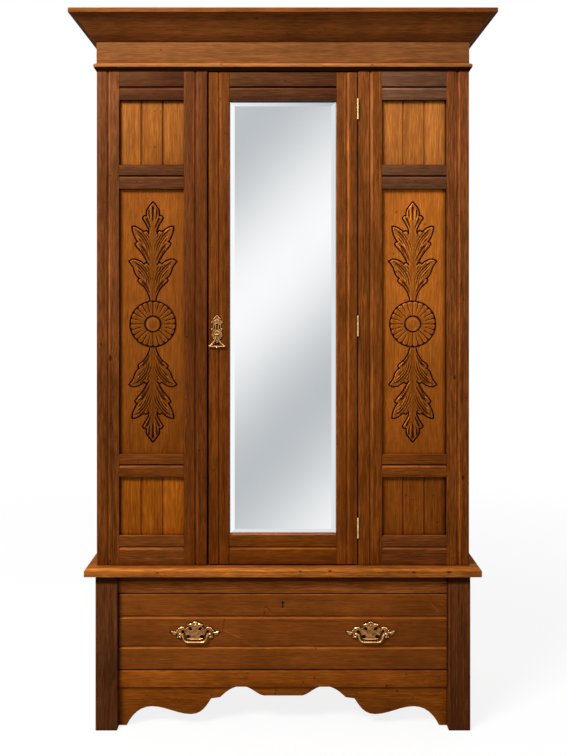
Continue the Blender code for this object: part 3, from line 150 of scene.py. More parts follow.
# The carving, in millimetres out from the stem and up from the middle of the rosette. Each stroke of an
# outline goes on from the end of the one before.
SPRAY_STROKES = (
    ((0, 357), (8, 347.5), (14, 339), (18.8, 330), (19.6, 316)),
    ((25.5, 315.6), (30.7, 308.6)),
    ((24.7, 299), (18.2, 287.5), (12.5, 275), (12.2, 263)),
    ((13.8, 267), (19.5, 272.7), (26, 269.4)),
    ((32.5, 273.8), (42.9, 281), (53.3, 285), (61, 285)),
    ((59.8, 273), (55.9, 260), (49.4, 246), (44.2, 239.5)),
    ((50, 238), (52.5, 232.5)),
    ((45.5, 222.6), (32.5, 207), (22, 190), (14.3, 175.8), (11.7, 172)),
    ((13.5, 176), (20.8, 179), (26, 175)),
    ((35, 182.3), (45.5, 187.5), (58.5, 189.5), (70.5, 183)),
    ((63.7, 174.5), (57.2, 164), (52, 148.5), (45.5, 138), (38.2, 133)),
    ((42.5, 131), (44, 126)),
    ((39, 120), (24.7, 107), (14.3, 89.7), (9.9, 75.7), (8.6, 66)),
)
# Each groove and ridge: its half width at the outer end, and its line from there to the stem
SPRAY_GROOVES = (
    (2.7, ((0, 347), (0, 322), (0, 294))),
    (1.6, ((11.5, 336), (11, 320), (9, 303))),
    (2.4, ((19.8, 311), (14, 298), (9, 286), (6.3, 275))),
    (2.1, ((50, 274), (40, 267), (29.3, 256), (21.8, 245.4), (15.3, 232.5), (11, 219.5), (8.5, 203))),
    (1.5, ((41, 249.5), (34, 241), (27, 231))),
    (2.9, ((39, 231.5), (27.2, 219.5), (16.4, 200), (11, 188), (8.5, 179))),
    (1.5, ((16.4, 263), (13.5, 257), (11.2, 249))),
    (1.5, ((22.2, 258), (18, 250), (14, 241))),
    (2.1, ((56, 181), (40, 171), (28.3, 159), (19.6, 148), (13.7, 134), (11, 120), (8, 103))),
    (1.5, ((42.5, 156.5), (32.6, 145), (23.5, 132))),
    (2.9, ((33.5, 127.5), (25, 119), (16.4, 107), (11.5, 95), (9, 85))),
    (1.5, ((16.4, 169), (13.5, 163), (10.8, 155))),
    (1.5, ((23.4, 166), (20, 158), (16, 150))),
)
SPRAY_RIDGES = (
    (1.9, ((6.5, 334), (6, 316), (4.6, 299))),
    (2.4, ((46.5, 260), (32.6, 242.2), (24, 229.2), (16, 216))),
    (2.1, ((43.5, 228.5), (33, 217.5), (21.5, 200.5), (13.5, 186))),
    (2.4, ((51, 170), (38, 154.6), (29.3, 145), (22.5, 135))),
    (2.1, ((38, 125), (28, 114.5), (18.5, 101), (12.5, 89))),
)
LOWER_SPRAY = 0.965  # its length beside the upper one's
CUT_DEPTH = 4.0
CUT_WIDTH = 2.6
CUT_CORE = 1.6  # half width of its dark bottom
LEAF_RISE = 0.9
LEAF_ROUND = 4.0
LEAF_RIM = 3.4  # from the cut to the painted highlight along the rim of the leaf
LEAF_DIRT, PETAL_DIRT = 0.36, 0.26
GROOVE_DEPTH, GROOVE_SPREAD = 3.6, 1.75
RIDGE_RISE, RIDGE_SPREAD = 1.2, 1.2
STROKE_WIDTH = 1.3
STROKE_START, STROKE_LEAST, STROKE_END = 10, 0.5, 5  # how fast a stroke fills and empties, over its length
STROKE_FADE, STROKE_TAPER = 0.3, 0.4
FLUTES = ((3, -6.5), (3, 6.0), (5, 6.5), (8, -6.5), (8, 6.0), (10, 6.0))  # a groove, and how far beside
FLUTE_HALF = 1.25
FLUTE_START = 6  # steps short of the outer end
STEM_HALF = (8.0, 4.0)  # at the rosette and at the tip
STEM_RISE, STEM_SINK = 1.5, 0.3
STEM_END = 0.76  # of the spray's length
SPRAY_TIP, SPRAY_REACH = 357, 76
ROSETTE_RIM = 65.8
ROSETTE_OUTER, OUTER_EDGE, OUTER_SLOPE = 68.4, 0.8, 1.2
ROSETTE_CLEAR = 1.2  # from the rosette to the sprays' points
PETALS = 24
PETAL_SCALLOP = 4.2
PETAL_RISE, PETAL_DISH, PETAL_VALLEY = 0.6, 1.1, 1.1
PETAL_EDGE = 2.2
RIM_DARK = 0.7  # how far the painted shade and dirt of the cut round the rosette reach in
BOSS_RADIUS, BOSS_RING = 20.4, 25.4
BOSS_RISE, BOSS_ROUND, BOSS_SINK = 1.6, 0.92, 0.1
BOSS_RING_FLOOR, BOSS_RING_DARK = 1.15, 1.5
LINE_DEPTH, LINE_HALF, LINE_DARK = 2.0, 1.9, 1.3
LINE_STARTS = (24, 37, 34)  # radii where the cuts between petals begin, in turn
LINE_RUN_IN = 5.0
# Painted highlights, with wear, along lines of the carving: how strong, how far from the edge or the cut,
# and the half width
LEAF_GLEAM = (0.8, LEAF_RIM, 1.6)
LIP_GLEAM = (0.9, 1.9, 0.7)  # in half widths of a groove
TIP_GLEAM = (0.6, 3.2, 2.0)
PETAL_GLEAM, PETAL_GLEAM_END = (0.4, 2.9, 1.3), 2.0
DOME_GLEAM = (0.5, 3.0, 2.0)
# A painted highlight at the upper left of the boss
BOSS_GLEAM, BOSS_GLEAM_SPREAD = (-6.0, 7.0, 11.0), (0.15, 1.3)  # its place and radius, its strength
ROSETTE_BELOW_CENTRE = 8.0
CARVING_INWARD = 2.4
CARVED_CONTRAST = 0.4
# Points of the carved face: steps of the field, the filling and the lines, and rings over the rosette
FIELD_STEP, FILL_STEP, LINE_STEP = 22.0, 2.6, 1.7
POINT_GAP = 0.75
CURVE_STEPS = 12  # of a smooth line before it is cut evenly
STROKE_SHARES = (0.4, 1)
TURNS_PER_PETAL = 8
ROSETTE_RINGS = (
    0, 6, 12, 17, 20, BOSS_RADIUS, 22.2, 23.6, BOSS_RING, 26.5, 30, 35, 40, 46, 52, 57, 60, 62, 63.2, 64.4,
    65.6, ROSETTE_RIM, 67.4, ROSETTE_OUTER, ROSETTE_OUTER + 0.9,
)

# Frieze and neck, out from the carcass
FIT = 0.3
FRIEZE_OUT = 0.6
FRIEZE_BACK = 17.0
NECK_OUT = 8.4
NECK_NOSE = 9.0
NECK_SLOPE = 3.2
NECK_ROUND = 2.0

# Mirror bevel
BEVEL_WIDTH, BEVEL_DEPTH = 14.5, 0.72

# Nails of the back boards: over a board's width and the panel's height, and a head's radii and rise
BACK_BOARDS = 10
NAIL_PLACES, NAIL_LEVELS = (0.22, 0.78), (0.015, 0.34, 0.66, 0.985)
HEAD_SIDES = 10
HEAD_PROFILE = ((2.6, 0.05), (2.6, -0.15), (1.6, -0.4))
# Screws of the mirror's backboard: from its sides, and over its height
SCREW_INSET = 9.0
SCREW_LEVELS = (0.02, 0.25, 0.5, 0.75, 0.98)

# Brass castings: from the middle of the drawer handle's posts or of the keyhole, across, out and up
PLATE_STEP = 0.9
PLATE_EDGE = 0.6
PLATE_ROUND = 2.2
PLATE_RIM, PLATE_RIM_IN, PLATE_RIM_HALF = 0.5, 1.5, 0.8
HOLE_POINTS, KEYHOLE_POINTS = 24, 18
RELIEF, BEAD_FLAT, BAR_ENDS = 0.5, 0.8, 0.6  # of bars and beads over the face, and their shapes
RELIEF_STEPS, RELIEF_SIDES, ARM_STEPS = 5, 10, 6
POLISHED, PATINA_AND_SHADE = 1, 2  # finishes beside the plain cast one; the dark one is patina on nails, and painted shade elsewhere
SHADOW_SHEET_MARGIN, SHADOW_SHEET_FACE = 2.0, 0.25  # a dark sheet round and behind a plate, of painted shadow
HANDLE_FACE = 2.6
HANDLE_STROKES = (
    ((0, 36.5), (5, 35), (8.3, 31)),
    ((12.5, 31.4), (17.5, 30), (21.5, 26.5)),
    ((19.5, 23), (21.5, 19.5)),
    ((26, 17.3), (30.5, 14)),
    ((32.3, 18.6), (36.5, 21.2), (41, 20.2)),
    ((47.5, 18.4), (52.3, 11.5)),
    ((56, 7.6), (61, 7.4), (66.5, 10), (71, 9)),
    ((70.5, 3.5), (66, -1.5), (60.5, -5.2)),
    ((55.5, -2.5), (52.5, 2.5)),
    ((53, -3.5), (53, -9.5), (48.5, -13.5), (42, -14.2), (38, -10.5)),
    ((34.5, -3), (31.5, 3.5)),
    ((29, -1.5), (27.2, -6.5), (25.5, -11.5)),
    ((22, -15.5), (14, -16.4), (0, -16.5)),
)
# Each hole: its place, its two half widths and its slant in degrees
HANDLE_HOLES = (((14.2, 14.8), (5.4, 3.4), 45), ((36, 6.2), (3.4, 4.2), 0), ((19.7, -7.9), (5.2, 4.6), 0))
# Each bar and bead: its radius and its line or place
HANDLE_BARS = (
    (1.9, ((0, 34.2), (4.8, 32.6), (7, 28))),
    (1.6, ((9, 29.2), (14, 28.8), (20, 26))),
    (1.9, ((30.5, 12), (33, 17.4), (37, 19), (42, 18.2), (47.5, 15.6), (52, 9.6))),
    (1.5, ((54, 4), (60, 5), (68, 8))),
    (1.5, ((0, -15), (12, -14.8), (22, -13.4))),
)
HANDLE_BEADS = (
    (3.2, (0, 25.4)), (2.5, (12.3, 27.8)), (2.4, (20.2, 26.2)), (2.7, (36.7, 18.6)), (3.0, (46.9, 15.8)),
    (2.4, (52.2, 9.8)), (2.5, (67.8, 7.3)), (2.0, (60, 5)), (5.2, (44, -8.6)), (2.4, (50.4, -9.6)),
)
POST = 43.0
POST_RISE = 2.4
POST_PROFILE = ((4.8, 1.2), (4.4, 2.4), (3.1, 3.6), (3.0, 6.0))
POST_BALL = 4.9
BAIL_OUT = 10.0
BAIL_LINE = (
    (0, -21.6), (10, -21.6), (20, -21.4), (27, -19.6), (31.5, -15), (34.2, -8), (34.9, -2.6), (36.4, -0.3),
    (39, 0), (44, 0),
)
BAIL_THIN, BAIL_THICK = 2.1, 2.9
BAIL_COLLAR_AT = 19.4
BAIL_COLLAR = ((2.6, -2.6), (3.7, -1.6), (4.0, 0), (3.7, 1.6), (2.6, 2.6))

ESCUTCHEON_FACE = 1.6
ESCUTCHEON_STROKES = (
    ((0, 28.4), (5.4, 23), (12, 17)),
    ((9.8, 15.4), (7, 14.6)),
    ((10, 12), (13.4, 11.4), (16.4, 7)),
    ((13.6, 4), (12, 0), (11.6, -5), (12.4, -9.5), (15.8, -13)),
    ((14.8, -16.5), (13.2, -20)),
    ((15, -26), (15.6, -32), (13, -38.5)),
    ((10.8, -41.5), (7.5, -41.5)),
    ((6.2, -46), (4.2, -51), (0, -54.5)),
)
ESCUTCHEON_SLOT = ((7.4, -6.5), (1.1, 6.6), 0)
KEYHOLE = (2.9, 1.5, -14.0)  # its radius, and the half width and foot of its slot
ESCUTCHEON_BARS = (
    (2.0, ((0, 26), (5.4, 21), (10.8, 16.4))),
    (1.3, ((0, 14.6), (4, 12.4), (6.4, 8.6))),
    (1.3, ((0, 4.8), (3.2, 3.6), (4.6, 0), (4.2, -4), (4, -14))),
    (1.5, ((8, 12.4), (12.6, 10), (15.6, 7))),
    (1.3, ((10.4, 1), (10, -5), (11.2, -9.6), (15, -13))),
    (1.5, ((12.2, -20), (13.4, -26), (13.8, -32), (11.4, -37.5))),
    (2.2, ((0, -18), (3.6, -20), (6.4, -23))),
)
ESCUTCHEON_BEADS = ((2.0, (15.2, 7.4)), (2.0, (14.6, -13)), (2.0, (9.4, -39)), (2.6, (0, -47)))
# A dark sheet in the keyhole's shape on the drawer front, painted shade of the hole: its outline, faces and
# place
SHADED_KEYHOLE = (3.5, 1.6, -12.0)
SHADED_KEYHOLE_FACE, SHADED_KEYHOLE_BACK = 0.2, 0.02
SHADED_KEYHOLE_PLACE, SHADED_KEYHOLE_BELOW = -0.4, 23.6
PIN_OUT, PIN_LEVEL, PIN_RADIUS, PIN_PAST = 7.0, -28.0, 1.3, 0.4
EAR_NEAR, EAR_FAR, EAR_RADIUS, EAR_TURNS = 4.3, 7.3, 4.0, range(90, -91, -20)
KNUCKLE = ((2.4, -4), (3.3, -3.6), (3.9, 0), (3.3, 3.6), (2.4, 4))
DROP_ARM_RADII, DROP_BAR_RADIUS, DROP_CREST_RADIUS = (2.1, 2.5), 2.6, 2.4
DROP_ARM = ((1.8, -30), (3.2, -35), (5.4, -42), (10.5, -51.5), (19.8, -60.8))
DROP_HALF, DROP_BAR = 21.5, -62.6
DROP_RINGS = range(-15, 16, 5)
DROP_RING = ((2.5, -1.2), (3.1, -0.6), (3.1, 0.6), (2.5, 1.2))
DROP_CREST = ((0, -26.6), (3.4, -28.6), (6.4, -31.4))
DROP_BEADS = ((3.4, (20.6, -61.8)), (3.0, (0, -65.6)))

scene = bpy.context.scene
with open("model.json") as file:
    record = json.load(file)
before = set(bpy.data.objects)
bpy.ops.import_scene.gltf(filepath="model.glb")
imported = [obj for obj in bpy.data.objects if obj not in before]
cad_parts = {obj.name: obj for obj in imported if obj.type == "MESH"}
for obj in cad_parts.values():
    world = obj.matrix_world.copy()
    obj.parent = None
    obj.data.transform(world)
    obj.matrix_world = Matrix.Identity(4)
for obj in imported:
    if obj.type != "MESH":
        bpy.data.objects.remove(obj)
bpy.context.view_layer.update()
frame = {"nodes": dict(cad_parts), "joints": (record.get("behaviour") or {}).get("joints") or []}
nodes = frame["nodes"]


# Materials

def linear(colour):
    """Scene values of a colour written as 0 to 255."""
    parts = [part / 255 for part in colour]
    values = [p / 12.92 if p <= 0.04045 else ((p + 0.055) / 1.055) ** 2.4 for p in parts]
    return (*values, 1.0)


def shaded(colour, red, green, blue):
    """A colour with each of its scene values multiplied."""
    r, g, b, _ = linear(colour)
    return (min(r * red, 1.0), min(g * green, 1.0), min(b * blue, 1.0), 1.0)


def grey(level):
    """A scene value without colour."""
    return (level, level, level, 1.0)


class Wiring:
    """Nodes as they are wired in a tree."""

    def __init__(self, tree, prefix="ShaderNode"):
        self.tree = tree
        self.prefix = prefix

    def feed(self, socket, value):
        if isinstance(value, bpy.types.NodeSocket):
            self.tree.links.new(value, socket)
        else:
            socket.default_value = value

    def node(self, kind, inputs=(), **settings):
        made = self.tree.nodes.new(self.prefix + kind)
        for key, value in settings.items():
            setattr(made, key, value)
        for key, value in dict(inputs).items():
            self.feed(made.inputs[key], value)
        return made

    def math(self, operation, first, second=0.0):
        return self.node("Math", {0: first, 1: second}, operation=operation).outputs[0]

    def times(self, first, second):
        return self.math("MULTIPLY", first, second)

    def vector(self, operation, first, second=(0, 0, 0)):
        made = self.node("VectorMath", {0: first, 1: second}, operation=operation)
        return made.outputs["Value" if operation in ("LENGTH", "DOT_PRODUCT") else "Vector"]

    def scaled(self, vector, factor):
        return self.node("VectorMath", {0: vector, "Scale": factor}, operation="SCALE").outputs["Vector"]

    def mix(self, factor, first, second, blend="MIX"):
        made = self.node("Mix", data_type="RGBA", blend_type=blend)
        for index, value in ((0, factor), (6, first), (7, second)):
            self.feed(made.inputs[index], value)
        return made.outputs[2]

    def gain(self, factor, colour, gains):
        return self.mix(factor, colour, gains, "MULTIPLY")

    def spread(self, value, low, high, new_low=0.0, new_high=1.0):
        inputs = {0: value, 1: low, 2: high, 3: new_low, 4: new_high}
        return self.node("MapRange", inputs).outputs[0]

    def noise(self, place, scale=1.0, detail=2.0, roughness=0.5, distortion=0.0):
        inputs = {"Vector": place, "Scale": scale, "Detail": detail, "Roughness": roughness}
        return self.node("TexNoise", {**inputs, "Distortion": distortion}).outputs["Fac"]

    def ramp(self, factor, *stops):
        made = self.node("ValToRGB", {"Fac": factor})
        elements = made.color_ramp.elements
        while len(elements) < len(stops):
            elements.new(1.0)
        for element, (position, colour) in zip(elements, stops):
            element.position = position
            element.color = colour
        return made.outputs["Color"]

    def attribute(self, name):
        return self.node("Attribute", attribute_name=name).outputs["Fac"]

    def corners(self, reach):
        return self.node("AmbientOcclusion", {"Distance": reach}, samples=6).outputs["AO"]


class Finish(Wiring):
    """A material round one main shader."""

    def __init__(self, name):
        self.material = bpy.data.materials.new(name)
        self.material.use_nodes = True
        super().__init__(self.material.node_tree)
        self.shader = self.tree.nodes["Principled BSDF"]

    def give(self, name, value):
        self.feed(self.shader.inputs[name], value)

    def bump(self, height, distance, strength):
        made = self.node("Bump", {"Height": height, "Distance": distance, "Strength": strength})
        self.give("Normal", made.outputs["Normal"])


def stretched(look, place, grain, across, along):
    """Coordinates drawn out along the grain."""
    scale = [across] * 3
    scale[grain] = along
    return look.vector("MULTIPLY", place, scale)


def split_boards(look, place, boards, seed):
    """Moves each board's grain apart, and gives each its own shade."""
    axis, start, width = boards
    parts = look.node("SeparateXYZ", {0: place}).outputs
    number = look.math("FLOOR", look.math("DIVIDE", look.math("SUBTRACT", parts[axis], start), width))
    draw = look.math("ADD", number, seed * BOARD_DRAW)
    random = look.node("TexWhiteNoise", {"W": draw}, noise_dimensions="1D").outputs
    moved = look.vector("ADD", place, look.vector("MULTIPLY", random["Color"], BOARD_SHIFT))
    return moved, look.spread(random["Value"], 0, 1, *BOARD_SHADES)


def bend_round_knots(look, place, grain, knots):
    """Grain that flows round each knot, and how much of each knot shows."""
    shown = 0.0
    moved = place
    squash = [1.0] * 3
    squash[grain] = KNOT_SQUASH
    for spot, radius in knots:
        away = look.vector("SUBTRACT", place, spot)
        reach = look.math("DIVIDE", look.vector("LENGTH", look.vector("MULTIPLY", away, squash)), radius)
        moved = look.vector("ADD", moved, look.scaled(away, look.spread(reach, *KNOT_SWIRL, 1.0, 0.0)))
        shown = look.math("MAXIMUM", shown, look.spread(reach, *KNOT_EDGE, 1.0, 0.0))
    return moved, shown


def scratched(look, place, colour, scratches):
    """Thin straight marks, each from one place to another, paler or darker than the wood."""
    for start, end, width, gain in scratches:
        run = Vector(end) - Vector(start)
        away = look.vector("SUBTRACT", place, start)
        along = look.vector("DOT_PRODUCT", away, run / run.length_squared)
        back = look.scaled(run, look.spread(along, 0.0, 1.0))
        gap = look.vector("LENGTH", look.vector("SUBTRACT", away, back))
        shown = look.spread(gap, width, SCRATCH_CORE * width, 0.0, SCRATCH_STRENGTH)
        colour = look.gain(shown, colour, grey(gain))
    return colour


def slanted(look, value, way):
    """Walls of grooves and rounded edges that lean one way, without the faces that look straight that way."""
    lean = look.spread(value, *(way * end for end in LEANING))
    return look.times(lean, look.spread(value, *(way * end for end in reversed(STRAIGHT))))


def grain_layers(look, place, grain):
    """Layers of streaks and fibres drawn out along the grain, the rings of growth and the pores."""
    layers = {}
    for name, (across, along, detail, roughness, _) in GRAIN.items():
        layers[name] = look.noise(stretched(look, place, grain, across, along), 1.0, detail, roughness)
    swell = look.noise(stretched(look, place, grain, *RING_SCALE), 1.0, *RING_NOISE)
    rings = look.math("PINGPONG", look.times(swell, RING_COUNT), 1.0)
    layers["rings"] = look.spread(rings, 0.5, 1.0)
    pores = look.noise(stretched(look, place, grain, *PORE_SCALE), 1.0, 1.0)
    layers["pores"] = look.spread(pores, *PORE_SPREAD)
    return layers


def stained(look, tone, layers, contrast):
    """The tone, darker and paler by the grain."""
    weights = [(name, values[-1]) for name, values in GRAIN.items()] + [("rings", RING_WEIGHT)]
    figure = GRAIN_MIDDLE
    for name, weight in weights:
        offset = look.math("SUBTRACT", layers[name], 0.5)
        figure = look.math("ADD", look.times(offset, weight * contrast), figure)
    return look.ramp(figure, *((stop, shaded(tone, *gains)) for stop, gains in GRAIN_RAMP))


def marked(look, place, tone, colour, pores, knot, board_shade):
    """The wood with its blotches, pores, specks and knots."""
    shade = look.spread(look.noise(place, *BLOTCHES), *BLOTCH_SPREAD)
    if board_shade:
        shade = look.times(shade, board_shade)
    colour = look.gain(1.0, colour, shade)
    specks = look.spread(look.noise(place, *SPECKS), *SPECK_SPREAD)
    for shown, (strength, gains) in ((pores, PORE), (specks, SPECK), (knot, KNOT)):
        if shown:
            colour = look.mix(look.times(shown, strength), colour, shaded(tone, *gains))
    return colour


def worn(look, colour, layers, facing, lit, boards):
    """The wood with painted shade in its corners, pale worn edges, and painted light on what faces up and on
    slopes that face left.
    """
    # Painted shade in corners and recesses.
    colour = look.gain(1.0, colour, look.spread(look.corners(CORNER_SHADE_REACH), *CORNER_SHADE_SPREAD))
    edges = look.times(look.attribute("worn"), look.spread(layers["streaks"], *WORN_SPREAD))
    colour = look.gain(edges, colour, WEAR_AND_LIGHT_GAIN)
    # Painted light on slopes and flats that face up.
    slope = look.times(slanted(look, facing["Z"], 1), lit[0])
    level = look.times(look.spread(facing["Z"], *STRAIGHT), lit[1])
    lit_up = look.math("MAXIMUM", slope, level)
    colour = look.gain(look.times(lit_up, look.spread(layers["threads"], *LIT_SPREAD)), colour, LIT_GAIN)
    if boards:
        return colour
    # Painted light on slopes that face left, in streaks of the grain.
    painted_light_left = look.times(slanted(look, facing["X"], -1), look.spread(layers["bands"], *LEFT_LIGHT_SPREAD))
    return look.gain(painted_light_left, colour, WEAR_AND_LIGHT_GAIN)


def shaded_and_dirty(look, tone, colour, facing, under_shade_and_dirt, walls, seam):
    """The wood with painted shade and dirt on what faces down, dark seams between boards, and painted shade
    on the walls of upright grooves and gaps.
    """
    dark = look.times(look.spread(facing["Z"], *UNDERSIDE), under_shade_and_dirt)
    # Painted shade on leaning groove walls that face right and on straight walls of gaps, by the amounts
    # given, and dark seams between boards.
    for way, amount in zip((-1, 1), walls):
        depth = max(0.0, way * LINE_SHADE) if seam is None else seam
        leaning = look.times(slanted(look, facing["X"], way), depth)
        straight = look.times(look.spread(facing["X"], *(way * end for end in STRAIGHT)), amount)
        dark = look.math("MAXIMUM", dark, look.math("MAXIMUM", leaning, straight))
    return look.mix(dark, colour, shaded(tone, *SHADE_AND_DIRT))


def shadowed(look, place, colour, bands, line, rim, eaves):
    """The wood with pale arrises beside a line, and with the shade of a rim or of an overhang."""
    across, _, height = look.node("SeparateXYZ", {0: place}).outputs
    if line:
        from_line = look.math("ABSOLUTE", look.math("SUBTRACT", across, line))
        beside = look.math("ABSOLUTE", look.math("SUBTRACT", from_line, ARRIS_OUT))
        pale = look.times(look.spread(beside, ARRIS_HALF, 0.0), look.spread(bands, *ARRIS_SPREAD))
        colour = look.gain(pale, colour, WEAR_AND_LIGHT_GAIN)
    if rim:
        colour = look.gain(look.spread(across, rim - RIM_REACH, rim), colour, EAVES_GAIN)
    if eaves:
        over, reach = eaves
        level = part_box(over)[0].z - reach * MM
        colour = look.gain(look.spread(height, level, level + EAVES_EDGE), colour, EAVES_GAIN)
    return colour


def graded(look, place, colour, painted_light_gains, grade_power):
    """The wood as its colour changes from foot to top, with a gain at each end and an exponent. On the carved
    panels the gains paint light, paler towards the top.
    """
    height = look.node("SeparateXYZ", {0: place}).outputs["Z"]
    ends = [(*(part**grade_power * gain for part in end), 1) for end, gain in zip((FOOT_GAINS, TOP_GAINS), painted_light_gains)]
    change = look.ramp(look.spread(height, *GRADE_HEIGHTS), *zip((0.0, 1.0), ends))
    return look.gain(1.0, colour, change)


def wood(
    name, tone, grain, seed, contrast=1.0, boards=None, seam=None, knots=(), scratches=(), carved=False,
    painted_light_gains=(1.0, 1.0), under_shade_and_dirt=0.5, eaves=None, rim=None, walls=(0.0, 0.0), lit=(1.0, 1.0), line=None, grade_power=1.0,
):
    """Stained and waxed softwood with grain, marks, wear and dirt, painted light, and painted shade of its
    own and of its neighbours.
    """
    look = Finish(name)
    spots = look.node("TexCoord").outputs
    facing = look.node("SeparateXYZ", {0: spots["Normal"]}).outputs
    place, board_shade = spots["Object"], None
    if boards:
        place, board_shade = split_boards(look, place, boards, seed)
    place, knot = bend_round_knots(look, place, grain, knots)
    place = look.vector("ADD", place, [seed * shift for shift in GRAIN_SHIFT])
    layers = grain_layers(look, place, grain)
    colour = stained(look, tone, layers, contrast)
    colour = marked(look, place, tone, colour, layers["pores"], knot, board_shade)
    colour = scratched(look, spots["Object"], colour, scratches)
    colour = worn(look, colour, layers, facing, lit, boards)
    colour = shaded_and_dirty(look, tone, colour, facing, under_shade_and_dirt, walls, seam)
    # Painted highlight, with wear, on the carving's ridges, and painted shade, with dirt, in its cuts.
    if carved:
        colour = look.gain(look.attribute("wear_and_highlight"), colour, RIDGE_WEAR_AND_HIGHLIGHT_GAIN)
        colour = look.mix(look.attribute("cut"), colour, shaded(tone, *CUT_SHADE_AND_DIRT_GAIN))
    colour = shadowed(look, spots["Object"], colour, layers["bands"], line, rim, eaves)
    look.give("Base Color", graded(look, spots["Object"], colour, painted_light_gains, grade_power))
    look.give("Roughness", look.spread(layers["streaks"], *WAX_SPREAD))
    look.give("Specular IOR Level", WAX_LEVEL)
    look.give("Specular Tint", linear(WAX_TINT))
    raised = look.math("ADD", layers["fibres"], look.times(layers["streaks"], STREAK_DEPTH))
    look.bump(look.math("SUBTRACT", raised, layers["pores"]), GRAIN_DEPTH, GRAIN_STRENGTH)
    return look.material


def brass(name, dark, light, polish):
    """Cast brass: coppery and golden patches, dark patina in the hollows, polish where hands rub it."""
    look = Finish(name)
    place = look.node("TexCoord").outputs["Object"]
    patches = look.noise(place, *PATCHES)
    colour = look.ramp(patches, *zip(PATCH_ENDS, (linear(dark), linear(light))))
    hollow = look.spread(look.corners(HOLLOW_REACH), *HOLLOW_SPREAD)
    look.give("Base Color", look.mix(hollow, colour, linear(TARNISH)))
    look.give("Metallic", 1.0)
    look.give("Roughness", look.spread(patches, 0.3, 0.7, polish + DULLER, polish))
    look.bump(look.noise(place, *CAST_NOISE), CAST_DEPTH, CAST_STRENGTH)
    return look.material


def silvered_glass():
    """A mirror plate whose silvering has slightly clouded."""
    look = Finish("silvered_glass")
    clouds = look.noise(look.node("TexCoord").outputs["Object"], *CLOUDS)
    look.give("Base Color", look.ramp(clouds, (0.3, linear(CLOUD_DARK)), (0.7, linear(CLOUD_LIGHT))))
    look.give("Metallic", 1.0)
    look.give("Roughness", look.spread(clouds, *CLOUD_GLOSS))
    return look.material


# Edges of the carcass pieces

def soft_edges_group():
    """Smooth shading between edges, with the rounded edges marked as worn."""
    group = bpy.data.node_groups.new("soft_edges", "GeometryNodeTree")
    for side in ("INPUT", "OUTPUT"):
        group.interface.new_socket("Geometry", in_out=side, socket_type="NodeSocketGeometry")
    look = Wiring(group, prefix="")
    start, end = look.node("NodeGroupInput"), look.node("NodeGroupOutput")
    angle = look.node("GeometryNodeInputMeshEdgeAngle").outputs["Unsigned Angle"]
    sides = {0: angle, 1: SMOOTH_ANGLE}
    sharp = look.node("FunctionNodeCompare", sides, data_type="FLOAT", operation="GREATER_THAN").outputs[0]
    normals = {"Mesh": start.outputs[0], "Remove Custom": True, "Edge Sharpness": sharp}
    plain = look.node("GeometryNodeSetMeshNormal", normals, mode="SHARPNESS").outputs[0]
    slots = look.node("GeometryNodeInputMaterialIndex").outputs[0]
    worn = {"Geometry": plain, "Name": "worn", "Value": slots}
    mark = look.node("GeometryNodeStoreNamedAttribute", worn, data_type="FLOAT", domain="FACE")
    look.feed(end.inputs[0], mark.outputs[0])
    return group


def soften(item, group, width):
    """Rounds a piece's edges, without a change to its own mesh."""
    weld = item.modifiers.new("weld", "WELD")
    weld.merge_threshold = WELD
    flat = item.modifiers.new("flat", "DECIMATE")
    flat.decimate_type = "DISSOLVE"
    flat.angle_limit = FLAT_ANGLE
    bevel = item.modifiers.new("round", "BEVEL")
    bevel.width = width
    bevel.segments = EDGE_STEPS
    bevel.limit_method = "ANGLE"
    bevel.angle_limit = EDGE_ANGLE
    bevel.material = 1  # the slot whose faces are marked as worn
    shade = item.modifiers.new("shade", "NODES")
    shade.node_group = group


def dress(item, material):
    """Gives a piece one finish, on its faces and on its rounded edges."""
    item.data.materials.clear()
    for _ in range(2):
        item.data.materials.append(material)


# Shapes, drawn in millimetres: across, out towards the viewer, and up

class Shape:
    """Points and faces gathered for one piece."""

    def __init__(self):
        self.points = []
        self.faces = []
        self.finishes = []

    def add(self, points, faces, finish=0):
        start = len(self.points)
        self.points += [tuple(point) for point in points]
        self.faces += [[start + i for i in face] for face in faces]
        self.finishes += [finish] * len(faces)
        return self


def unit(value):
    """A value kept between none and one."""
    return np.clip(value, 0, 1)


def curve_through(points, steps):
    """A smooth line through the points, with some steps between each two."""
    line = [np.array(point, float) for point in points]
    line = [2 * line[0] - line[1], *line, 2 * line[-1] - line[-2]]
    made = []
    for a, b, c, d in zip(line, line[1:], line[2:], line[3:]):
        square, cube = 2 * a - 5 * b + 4 * c - d, 3 * b - a - 3 * c + d
        made += [0.5 * (2 * b + (c - a) * t + square * t**2 + cube * t**3) for t in np.arange(steps) / steps]
    made.append(line[-2])
    return np.array(made)


def even_line(points, step):
    """A smooth line through the points, cut into about equal steps."""
    fine = curve_through(points, CURVE_STEPS)
    runs = np.r_[0, np.cumsum(np.hypot(*np.diff(fine, axis=0).T))]
    count = max(2, int(round(runs[-1] / step)) + 1)
    along = np.linspace(0, runs[-1], count)
    return np.column_stack([np.interp(along, runs, fine[:, i]) for i in (0, 1)])


def chain(strokes, step):
    """One line of strokes, each from the end of the one before, with a corner between each two."""
    lines = []
    start = ()
    for stroke in strokes:
        lines.append(even_line((*start, *stroke), step))
        start = stroke[-1:]
    return np.concatenate([line[:-1] for line in lines] + [lines[-1][-1:]])


def rings_to_shape(rings):
    """Closed rings of points joined in turn, with both ends filled."""
    sides = len(rings[0])
    points = [point for ring in rings for point in ring]
    faces = [list(range(sides))[::-1]]
    for level in range(len(rings) - 1):
        low, high = level * sides, (level + 1) * sides
        for i in range(sides):
            j = (i + 1) % sides
            faces.append([low + i, low + j, high + j, high + i])
    faces.append([(len(rings) - 1) * sides + i for i in range(sides)])
    return points, faces


